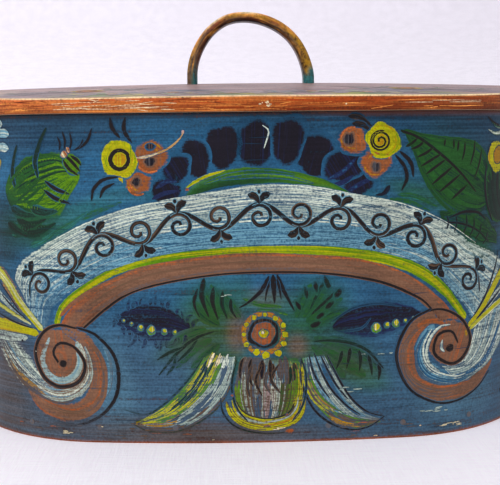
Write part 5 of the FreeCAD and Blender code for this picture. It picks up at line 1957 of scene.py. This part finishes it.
class TINE_OT_bells(bpy.types.Operator):
    """Paint the three hanging bell petals under the rosette"""

    bl_idname = "tine.bells"
    bl_label = "Bell petals"

    def execute(self, context):
        paint(context, "bell_left", 91, self.left)
        paint(context, "bell_middle", 92, self.middle)
        paint(context, "bell_right", 93, self.right)
        return {"FINISHED"}

    def left(self, work):
        """A long petal swept down to the left: yellow-green, pale lines, brown edge."""
        left = [(-31, 71), (-38, 66), (-45, 55), (-54, 43), (-66, 31), (-79, 22), (-91, 17)]
        right = [(-12, 69), (-13, 56), (-19, 40), (-29, 27), (-44, 16), (-62, 10.5), (-91, 14)]
        work.patch(left, right,
                   [["lime", "yellow", "pearl", "light_blue"], ["lime", "yellow", "pearl", "slate"],
                    ["lime", "yellow", "slate", "slate"], ["leaf", "yellow", "pearl", "umber"],
                    ["lime", "mustard", "umber", "smoke"]], "pine",
                   [[0.4, 0.3, 0.25, 0.2], [0.5, 0.35, 0.3, 0.2]], layer=2, thin=0.24)
        work.under = "slate"
        work.hatch(left, right, ["lime", "pine", "yellow", "leaf", "yellow", "pine", "yellow",
                                 "chalk", "deep_blue", "chalk", "deep_blue", "pearl", "umber"],
                   60, 1.1, 3, run=(0.02, 0.85), thin=0.24)
        for low in np.linspace(0.0, 0.7, 9):
            work.hatch(left, right, ["lime", "yellow", "pine", "yellow", "lime", "pearl", "slate",
                                     "pearl", "umber"], 15, 1.5, 4, run=(low, low + 0.26))
        work.hatch([(-58, 36), (-72, 25), (-92, 17)], [(-40, 17), (-60, 11), (-90, 14)],
                   ["yellow", "lime", "pine", "umber", "mustard", "umber"], 18, 1.6, 4)
        work.hatch([(-30, 72), (-33, 66), (-36, 60)], [(-12, 70), (-14, 63), (-16, 56)],
                   ["yellow", "cream", "cream", "chalk", "pearl"], 12, 2.2, 5)
        work.under = None
        work.lines([[(-36, 69), (-45, 55), (-56, 42), (-69, 30), (-82, 23), (-99, 27)],
                    [(-12, 68), (-14, 52), (-21, 36), (-31, 24), (-46, 14), (-62, 9), (-80, 10),
                     (-91, 15)]], 1.7, "pine", "umber", layer=6, thin=0.4)

    def middle(self, work):
        """The hanging bell: grey-green, dark curved strokes above, yellow-green round its foot."""
        left = [(-8, 69), (-12, 58), (-13.5, 44), (-11, 30), (-5, 18), (2, 11)]
        right = [(36, 68), (39, 58), (39.5, 44), (37, 30), (29, 17), (18, 10.5)]
        work.patch(left, right,
                   [["umber", "smoke", "leaf", "leaf"], ["smoke", "slate", "pearl", "lime"],
                    ["umber", "pearl", "slate", "lime"], ["smoke", "slate", "slate", "lime"],
                    ["umber", "yellow", "umber", "lime"]],
                   "pearl", [[0.1, 0.2, 0.2, 0.1], [0.2, 0.3, 0.25, 0.2]], layer=2, thin=0.24)
        work.under = "slate"
        work.hatch(left, right, ["umber", "smoke", "pearl", "umber", "smoke", "light_blue", "slate",
                                 "pearl", "lime", "yellow", "lime"],
                   70, 1.0, 3, run=(0.06, 0.9), thin=0.36)
        work.under = "umber"
        work.hatch(left, right, ["lime", "pearl", "umber", "slate", "pearl", "lid_grey", "chalk",
                                 "pearl", "leaf", "lime", "yellow"],
                   84, 0.9, 4, run=(0.2, 0.92), thin=0.4)
        work.hatch([(-6, 69), (-9, 60), (-9, 50), (-4, 42)],
                   [(33, 69), (36, 60), (36, 50), (33, 42)],
                   ["ink", "smoke", "plum", "ink", "smoke", "pine"], 13, 3.2, 5, thin=0.26,
                   soft=1.4)
        work.lines([[(0.5, 63), (-3.2, 48), (-1.4, 36)], [(8, 62), (3.2, 49), (8, 37)],
                    [(14.8, 62), (10.4, 48), (14.8, 38)], [(21, 62), (14.8, 50.5), (22, 39)]], 2.0,
                   "ink", "smoke", layer=6, thin=0.34)
        work.hatch([(37, 66), (40, 56), (40, 40), (36, 26)],
                   [(30, 64), (33, 54), (33, 38), (30, 24)],
                   ["yellow", "lime", "yellow", "lime"], 14, 1.5, 5)
        work.under = "umber"
        for path, count in (([(-21, 36), (-18, 24), (-9, 15), (6, 10.5), (24, 10.5)], 16),
                            ([(42, 36), (40, 24), (33, 15), (18, 10.5), (2, 10)], 16)):
            inner = [(s * 0.72 + 3, z * 0.72 + 12) for s, z in path]
            work.hatch(path, inner, ["yellow", "lime", "yellow", "mustard", "yellow", "pearl",
                                     "yellow", "pine"], count + 4, 1.7, 5)
        work.under = None
        work.commas([[(7, 40), (5, 27), (4, 15)], [(14, 34), (13, 24), (11, 14)]], 4.2, "smoke",
                    "ink", 0.5, layer=5, thin=0.5, soft=1.8)
        work.lines([[(-11, 66), (-14.5, 52), (-15, 40), (-11, 27), (-3, 17)],
                    [(38, 66), (41.5, 54), (41.5, 40), (38.5, 28), (31, 17)],
                    [(-24, 36), (-22, 24), (-13, 13.5), (2, 8.5), (18, 7.5), (30, 9)]], 1.5,
                   "pine", "ink", 0.5, layer=7, thin=0.34)
        for centre, size in (((-15, 38), 1.7), ((27, 22), 1.4), ((29, 9), (4.2, 2.6))):
            work.dab(centre, size, "rust", "oxblood", 0.2, layer=8, thin=0.3)

    def right(self, work):
        """A long petal swept down to the right: pale blue, white lines, yellow inner edge."""
        right = [(56, 69), (62, 57), (69, 43), (77, 31), (88, 21), (101, 16)]
        left = [(38, 68), (39, 55), (43, 40), (52, 26), (66, 14), (84, 9), (101, 14)]
        work.patch(left, right,
                   [["lime", "light_blue", "light_blue", "slate"],
                    ["lime", "pearl", "light_blue", "slate"],
                    ["umber", "yellow", "light_blue", "light_blue"],
                    ["umber", "umber", "slate", "light_blue"], ["lime", "umber", "umber", "smoke"]],
                   "pearl", [[0.2, 0.4, 0.4, 0.3], [0.15, 0.2, 0.4, 0.35], [0.1, 0.1, 0.2, 0.3]],
                   layer=2, thin=0.28)
        work.under = "slate"
        work.hatch(left, right, ["lime", "umber", "slate", "chalk", "light_blue", "pearl",
                                 "pearl", "chalk", "blue", "light_blue", "pearl"],
                   66, 1.1, 3, run=(0.02, 0.84))
        work.hatch([(38, 58), (41, 44), (50, 29), (66, 17)],
                   [(43, 60), (48, 44), (58, 31), (78, 19)],
                   ["yellow", "umber", "yellow", "mustard", "lime"], 16, 1.7, 5, run=(0.0, 0.95))
        work.hatch([(50, 25), (66, 13), (88, 9)], [(62, 26), (78, 18), (96, 15)],
                   ["umber", "mustard", "umber", "lime", "umber"], 16, 1.8, 4)
        work.lines([[(48, 70), (54, 54), (62, 40), (73, 28), (84, 20)],
                    [(44, 69), (47, 56), (53, 44), (60, 34)],
                    [(53, 68), (59, 55), (66, 43), (74, 33)],
                    [(58, 68), (64, 55), (71, 42), (79, 31), (90, 22), (103, 18)]], 1.5, layer=6,
                   thin=0.3)
        work.lines([[(38, 66), (38, 50), (42, 36), (50, 23), (62, 13.5), (77, 8.5), (91, 10.5),
                     (103, 18)]], 1.8, layer=6, thin=0.34)


class TINE_OT_wear(bpy.types.Operator):
    """Add the chips and scratches that years of use left on the band and the lid's edge"""

    bl_idname = "tine.wear"
    bl_label = "Chips and scratches"

    # Clusters of chips: place, half size, paint and how many
    CHIPS = [((-144, 7.5), (3.5, 1.0), "cream", 4), ((145, 20), (11, 2.6), "pearl", 10),
             ((162, 7.5), (9, 2.2), "cream", 10), ((-20, 116), (3, 1.2), "pearl", 3),
             ((70, 41), (9, 1.6), "pearl", 5), ((22, 11), (8, 1.4), "cream", 4),
             ((100, 68), (14, 1.0), "pearl", 3), ((-96, 13), (16, 3), "umber", 5)]
    # Scratches on the lid's edge: from, to, how many and paint
    SCRATCHES = [(-150, -50, 26, "cream"), (-190, -150, 6, "tan"), (-40, 60, 12, "tan"),
                 (60, 190, 9, "tan"), (120, 180, 5, "cream"), (-190, 190, 30, "oxblood")]

    def execute(self, context):
        paint(context, "wear_marks", 101, self.band_marks)
        self.rim_marks(context)
        return {"FINISHED"}

    def band_marks(self, work):
        """Chips in clusters, hairline cracks along the grain and rubbed marks at the foot."""
        draw = work.random
        for (cs, cz), (rs, rz), tone, count in self.CHIPS:
            for _ in range(count):
                s, z = cs + draw.normal(0, 0.5) * rs, cz + draw.normal(0, 0.5) * rz
                run = draw.uniform(0.6, 3.4)
                work.stroke([(s - run, z), (s, z + draw.normal(0, 0.3)), (s + run, z)],
                            [0.3, draw.uniform(0.5, 1.3), 0.3], tone, layer=8, wobble=0.5, thin=0.3)
        for centre, size in (((-116, 13), (1.2, 0.6)), ((132, 9), (1.3, 0.6)),
                             ((-30, 3), (1.6, 0.5)), ((96, 3), (2.2, 0.5)),
                             ((-170, 70), (0.7, 0.5)), ((60, 186), (0.8, 0.5))):
            work.dab(centre, size, "cream", "rust", layer=8, wobble=0.3)
        for _ in range(22):
            s, z, run = draw.uniform(-205, 195), draw.uniform(4, 240), draw.uniform(8, 26)
            level = z + np.cumsum(draw.normal(0, 0.16, 5))
            work.stroke(np.stack([s + run * np.linspace(0, 1, 5), level], 1), [0.1, 0.3, 0.1],
                        "deep_blue", layer=8, wobble=0.5, thin=0.0, soft=0.3)
        for k in range(34):
            s, z, run = draw.uniform(-205, 205), draw.uniform(2, 15), draw.uniform(2, 9)
            work.stroke([(s, z), (s + run / 2, z + 0.3), (s + run, z)], [0.3, 0.8, 0.3],
                        "rust" if k % 3 == 0 else "umber", "smoke", layer=7, wobble=0.5, thin=0.45)

    def rim_marks(self, context):
        """Scratches and one chip on the lid's front edge."""
        sizes, paints, oval = builder(context)
        out, foot = mm(sizes.lid_overhang) - LidShape.PAINT, mm(sizes.band_height)
        work = Brushwork(paints, lambda s, z, lift: oval.wrap(s, z, out + lift - 0.06),
                         lambda s, z: np.broadcast_to(paints("rim_brown"), (len(s), 3)), 103,
                         step=1.2)
        draw = work.random
        for low, high, count, tone in self.SCRATCHES:
            for _ in range(count):
                s, z = draw.uniform(low, high), foot + draw.uniform(1.6, 9.6)
                run = draw.uniform(3, 15)
                rise = draw.normal(0, 0.5)
                work.stroke([(s - run, z - rise), (s, z), (s + run, z + rise)], [0.15, 0.5, 0.15],
                            tone, wobble=0.4, thin=0.34, soft=0.3)
        for _ in range(9):
            place = (12.5 + draw.normal(0, 2.0), foot + 5.5 + draw.normal(0, 1.2))
            work.dab(place, (draw.uniform(0.5, 1.6), draw.uniform(0.4, 1.0)), "cream", layer=2,
                     soft=0.3, wobble=0.3)
        work.dab((71.5, foot + 5), (0.9, 0.8), "cream", layer=2, soft=0.3)
        work.piece("rim_marks", "lid", "lid_paint")


class TINE_OT_back_ornament(bpy.types.Operator):
    """Paint sprays on the ends, sprays and scrolls on the back, and worn strokes on the lid"""

    bl_idname = "tine.back_ornament"
    bl_label = "Ends, back and lid top"

    # Leaves of one spray, from stem to tip
    LEAVES = [((6, 48), (-14, 50), (-26, 64)), ((4, 60), (24, 66), (34, 84)),
              ((6, 82), (-16, 88), (-28, 106)), ((4, 108), (24, 116), (32, 136)),
              ((-4, 132), (-24, 136), (-34, 152)), ((-8, 156), (10, 164), (18, 182))]
    # Worn leaf groups on the lid's front slope: place and paint
    WORN = [((-104, -112), "lime"), ((-58, -108), "slate"), ((-12, -124), "lime"),
            ((50, -110), "slate"), ((92, -114), "lime")]

    def execute(self, context):
        sizes, paints, oval = builder(context)
        half = oval.round / 2
        paint(context, "end_sprays", 10,
              lambda work: [self.spray(work, s) for s in (250, -250, 400, -400)])
        paint(context, "back_sprays", 11,
              lambda work: [self.spray(work, s) for s in (half - 150, 150 - half)])
        paint(context, "back_scrolls", 7,
              lambda work: [self.back_scroll(work, way, way * (half - 88)) for way in (1, -1)])
        self.lid_top(LidShape(sizes, oval), paints)
        return {"FINISHED"}

    def spray(self, work, s):
        """A curling stem with comma leaves and a ringed blossom, mirrored left of the middle."""
        way = np.sign(s)

        def at(*points):
            return [(s + way * x, z) for x, z in points]

        for k, height in enumerate((44, 84, 124, 162)):
            work.dab((s, height), (30 - 3 * k, 26), "leaf", "pine", thin=0.5, soft=12.0,
                     wobble=0.16)
        leaves = [at(*leaf)[::-1] for leaf in self.LEAVES]
        work.commas(leaves, 15, "leaf", "pine", layer=2)
        work.commas([[(a[0] * 0.8 + b[0] * 0.2, a[1] * 0.8 + b[1] * 0.2 + 2), b, c]
                     for a, b, c in leaves], 6, "lime", "yellow", layer=3, thin=0.3)
        work.stroke(at((0, 22), (8, 70), (2, 110), (-10, 150), (-6, 190)), [6, 5.4, 4.6, 3.6, 2],
                    "leaf", "teal", layer=3)
        work.lines([leaf[::-1] for leaf in leaves], 1.6)
        work.commas([at((-30, 42), (-18, 30), (-2, 24)), at((32, 44), (20, 31), (4, 24)),
                     at((-34, 26), (-20, 20), (-4, 18)), at((34, 27), (22, 20), (6, 18)),
                     at((-16, 186), (-20, 176), (-14, 168)), at((32, 196), (30, 186), (20, 178))],
                    6.5, "ink", "pine", layer=3)
        work.commas([at((-22, 52), (-14, 40), (-3, 30)), at((24, 54), (16, 40), (4, 30))],
                    7, "chalk", "light_blue", 0.5, layer=3, thin=0.3)
        lobe(work, (s + way * 19, 215), 11, (s + way * 19, 214), 3.9)
        lobe(work, (s - way * 29, 199), 11, (s - way * 30, 199), 3.9)
        blossom(work, (s - way * 5, 206), 17, layer=5)
        work.lines([at((2, 226), (6, 233), (4, 240)), at((-8, 226), (-11, 233), (-8, 241))], 3.0)
        for x, z in ((30, 92), (-32, 112), (36, 142), (-24, 70), (22, 158)):
            work.dab((s + way * x, z), 3.2, "yellow", "mustard", 0.3, layer=4)

    def back_scroll(self, work, way, base):
        """An S-scroll rolled at both ends, comma strokes along it and a dark tulip over it."""
        def at(*points):
            return [(base + way * x, z) for x, z in points]

        work.stroke(at((-24, 38), (-28, 66), (-15, 104), (0, 134), (-6, 152)), [4, 12, 15, 12, 4],
                    "light_blue", "chalk", 0.6, thin=0.3)
        work.hatch(at((-30, 44), (-34, 66), (-22, 104), (-8, 132)),
                   at((-18, 42), (-20, 66), (-8, 104), (2, 134)), ["chalk", "pearl", "light_blue"],
                   12, 1.6, 1.5)
        work.stroke(at((12, 41), (21, 37), (19, 26), (5, 22), (-9, 34), (-12, 62), (0, 100),
                       (14, 130), (4, 160), (-14, 158), (-14, 142)),
                    [4, 7, 9, 12, 14, 16, 17, 14, 11, 8, 5], "russet", "rust", layer=2)
        work.stroke(at((20, 52), (11, 68), (18, 98), (32, 130), (24, 154)), [2, 6, 7, 6, 3],
                    "yellow", "lime", layer=2)
        work.lines([at((2, 46), (-3, 64), (9, 98), (23, 130), (10, 170), (-18, 168), (-22, 146)),
                    at((29, 44), (28, 23), (6, 12), (-17, 24), (-22, 60), (-9, 103), (4, 132))],
                   2.6, layer=3)
        work.commas([at((38 + k % 2 * 4, 62 + 24 * k), (30, 54 + 24 * k),
                        (15 + 5 * k, 42 + 24 * k)) for k in range(4)], 9, "leaf", "lime", layer=2)
        work.commas([at((-54 + 4 * k, 70 + 25 * k), (-48 + 2 * k, 58 + 25 * k),
                        (-35 + 4 * k, 46 + 25 * k)) for k in range(3)],
                    8, "chalk", "light_blue", 0.5, layer=2, thin=0.3)
        work.commas([at((50, 36), (42, 22), (28, 14))], 6.5, "ink", "pine", layer=3)
        work.ring((base - way * 6, 150), (9, 7, 2), 2.6, "ink", layer=4, start=90, turn=-way * 420)
        work.ring((base + way * 11, 36), (7.4, 5.6, 1.6), 2.2, "ink", layer=4, start=250,
                  turn=way * 400)
        for x, high in ((-26, 10), (26, 10), (-13, 14), (13, 14), (0, 17)):
            work.dab((base + x, 194 + high * 0.8), (9.5, high * 1.15), "violet", "plum", 0.3,
                     layer=2, thin=0.4, soft=4.0, turn=-x)
            work.dab((base + x, 194 + high * 0.8), (8.4, high), "plum", "violet", 0.24, layer=3,
                     thin=0.12, soft=3.4, turn=-x, swell=0.12)
        work.patch(at((-34, 186), (-18, 194), (0, 197), (18, 194), (34, 186)),
                   at((-34, 184), (0, 183), (34, 184)), ["leaf", "lime", "leaf"], "pine", layer=4)
        work.lines([at((-30, 188), (-10, 193), (12, 193))], 2.0, "yellow", "lime", layer=5)
        work.commas([at((-42, 220), (-48, 206), (-40, 192)), at((42, 220), (48, 206), (40, 192))],
                    6, "ink", "umber", layer=2)

    def lid_top(self, lid, paints):
        """Worn wreaths beside the handle and worn leaf groups along the front slope."""
        work = Brushwork(paints, lambda x, y, lift: np.stack([x, y, lid.top(x, y) + lift], -1),
                         lambda x, y: np.broadcast_to(paints("lid_grey"), (len(x), 3)), 77)
        for side in (1, -1):
            for way in (1, -1):
                x, y = way * 128, side * 68
                work.stroke([(x - way * 62, y - side * 22), (x - way * 22, y - side * 8),
                             (x + way * 22, y + side * 10), (x + way * 62, y + side * 2)],
                            [2, 5.5, 5.5, 1.5], "pine", "lid_grey", 0.45, thin=0.36)
                for shift, out in ((-44, 1), (-24, -1), (-4, 1), (20, -1), (38, 1), (54, -1)):
                    foot = (x + way * shift, y + side * shift * 0.18)
                    work.commas([[(foot[0] + way * 14, foot[1] + side * out * 19),
                                  (foot[0] + way * 10, foot[1] + side * out * 8), foot]], 8.5,
                                "teal" if out > 0 else "leaf", "lid_grey", 0.45, layer=2, thin=0.38)
                blossom(work, (x + way * 2, y + side * 2), 14, petal="mustard",
                        streak="rim_pink", ring="oxblood", layer=3)
        for (x, y), tone in self.WORN:
            work.stroke([(x - 40, y - 4), (x - 12, y + 3), (x + 14, y + 2), (x + 42, y - 6)],
                        [2, 5, 5, 2], "pine", "slate", 0.5, thin=0.5, soft=1.6)
            tones = (tone, "yellow" if tone == "lime" else tone, "teal")
            for k, shift in enumerate(range(-33, 40, 11)):
                side = 1 if k % 2 else -1
                way = 1 if shift > 0 else -1
                high = work.random.uniform(13, 20) * side
                work.commas([[(x + shift + 12 * way, y + high),
                              (x + shift + 9 * way, y + high * 0.4), (x + shift, y)]], 9.0,
                            tones[k % 3], "lid_grey", layer=2, thin=0.44, soft=2.0)
            work.dab((x, y), 6.0, "mustard", "rust", layer=3, thin=0.42, soft=2.0)
        work.piece("lid_wreaths", "lid", "lid_paint")


class TINE_OT_stage(bpy.types.Operator):
    """Set the camera, the lamps and the pale cloth"""

    bl_idname = "tine.stage"
    bl_label = "Stage"

    def execute(self, context):
        stage = context.scene.tine_stage
        self.camera(context, stage)
        self.lamp(context, "key", (-1.1, -1.5, 1.35), (0.0, 0.0, 0.12), 1.3, stage.key_power)
        self.lamp(context, "fill", (1.5, -1.2, 1.1), (0.0, 0.0, 0.12), 1.4, stage.fill_power)
        self.lamp(context, "wall", (-0.8, 0.75, 1.5), (-0.45, 1.8, 0.55), 0.8, stage.wall_power)
        self.world(context, stage)
        self.backdrop(stage)
        context.scene.view_settings.view_transform = "Standard"
        return {"FINISHED"}

    def camera(self, context, stage):
        """The camera looks along the forward direction of its yaw and pitch, then rolls."""
        yaw, pitch, roll = stage.yaw, stage.pitch, stage.roll
        forward = Vector((np.sin(yaw) * np.cos(pitch), np.cos(yaw) * np.cos(pitch), -np.sin(pitch)))
        level = Vector((np.cos(yaw), -np.sin(yaw), 0))
        upward = level.cross(forward)
        right = level * np.cos(roll) + upward * np.sin(roll)
        up = upward * np.cos(roll) - level * np.sin(roll)
        data = bpy.data.cameras.new("camera")
        data.lens = stage.lens
        data.sensor_width = 36.0
        data.sensor_fit = "HORIZONTAL"
        data.clip_start = 0.01
        camera = bpy.data.objects.new("camera", data)
        turn = Matrix((right, up, -forward)).transposed().to_4x4()
        camera.matrix_world = Matrix.Translation(Vector(stage.camera_place)) @ turn
        context.scene.collection.objects.link(camera)
        context.scene.camera = camera

    def lamp(self, context, name, place, target, size, power):
        """A large soft square lamp aimed at the box."""
        data = bpy.data.lights.new(name, "AREA")
        data.shape = "SQUARE"
        data.size = size
        data.energy = power
        lamp = bpy.data.objects.new(name, data)
        lamp.location = place
        lamp.rotation_mode = "QUATERNION"
        lamp.rotation_quaternion = (Vector(target) - Vector(place)).to_track_quat("-Z", "Y")
        lamp.visible_camera = False
        context.scene.collection.objects.link(lamp)

    def world(self, context, stage):
        """Even light from all round; camera and mirror rays see the pale cloth instead."""
        world = bpy.data.worlds.new("even_light")
        world.use_nodes = True
        nodes = world.node_tree.nodes
        background = nodes["Background"]
        background.inputs["Color"].default_value = (0.97, 0.98, 1.0, 1.0)
        background.inputs["Strength"].default_value = stage.sky
        seen = nodes.new("ShaderNodeBackground")
        seen.inputs["Color"].default_value = shade(linear(tuple(stage.cloth)))
        seen.inputs["Strength"].default_value = 1.0
        mix = nodes.new("ShaderNodeMixShader")
        links = world.node_tree.links
        links.new(seen_directly(world.node_tree), mix.inputs[0])
        links.new(background.outputs[0], mix.inputs[1])
        links.new(seen.outputs[0], mix.inputs[2])
        links.new(mix.outputs[0], nodes["World Output"].inputs["Surface"])
        context.scene.world = world

    def backdrop(self, stage):
        """A floor that curves up into a wall: straight, quarter circle, straight."""
        turn = np.radians(np.linspace(0, 90, 19))
        radius, near, far, high, wide = 600.0, -2600.0, 1800.0, 2600.0, 3200.0
        profile = np.concatenate([
            np.stack([np.linspace(near, far - radius, 12), np.zeros(12)], 1)[:-1],
            np.stack([far - radius + radius * np.sin(turn), radius - radius * np.cos(turn)], 1),
            np.stack([np.full(6, far), np.linspace(radius, high, 7)[1:]], 1)])
        x = np.linspace(-wide, wide, 9)[None, :]
        points = np.stack([x + 0 * profile[:, :1], profile[:, :1] + 0 * x,
                           profile[:, 1:] + 0 * x], -1)
        faces = grid_faces(*points.shape[:2])[:, ::-1]
        mesh = bpy.data.meshes.new("cloth")
        mesh.from_pydata((points.reshape(-1, 3) * MM).tolist(), [], faces.tolist())
        mesh.materials.append(linen("linen", linear(tuple(stage.cloth))))
        mesh.shade_smooth()
        cloth = bpy.data.objects.new("cloth", mesh)
        bpy.context.scene.collection.objects.link(cloth)


MAKERS = (TINE_OT_stage, TINE_OT_band, TINE_OT_lid, TINE_OT_handle, TINE_OT_posts,
          TINE_OT_fittings, TINE_OT_scroll, TINE_OT_volutes, TINE_OT_strands,
          TINE_OT_petal_fan, TINE_OT_blossoms, TINE_OT_foliage, TINE_OT_pods,
          TINE_OT_rosette, TINE_OT_bells, TINE_OT_wear, TINE_OT_back_ornament)


class TINE_PT_panel(bpy.types.Panel):
    """Lists the makers of the tine's pieces"""

    bl_idname = "TINE_PT_panel"
    bl_label = "Tine"
    bl_space_type = "VIEW_3D"
    bl_region_type = "UI"
    bl_category = "Tine"

    def draw(self, context):
        for maker in MAKERS:
            self.layout.operator(maker.bl_idname)


CLASSES = (TineSizes, TinePalette, TineStage) + MAKERS + (TINE_PT_panel,)


def register():
    for cls in CLASSES:
        bpy.utils.register_class(cls)
    bpy.types.Scene.tine_sizes = bpy.props.PointerProperty(type=TineSizes)
    bpy.types.Scene.tine_palette = bpy.props.PointerProperty(type=TinePalette)
    bpy.types.Scene.tine_stage = bpy.props.PointerProperty(type=TineStage)


def unregister():
    del bpy.types.Scene.tine_stage
    del bpy.types.Scene.tine_palette
    del bpy.types.Scene.tine_sizes
    for cls in reversed(CLASSES):
        bpy.utils.unregister_class(cls)


def main():
    """Registers the add-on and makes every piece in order."""
    register()
    for maker in MAKERS:
        group, name = maker.bl_idname.split(".")
        getattr(getattr(bpy.ops, group), name)()


if __name__ == "__main__":
    main()
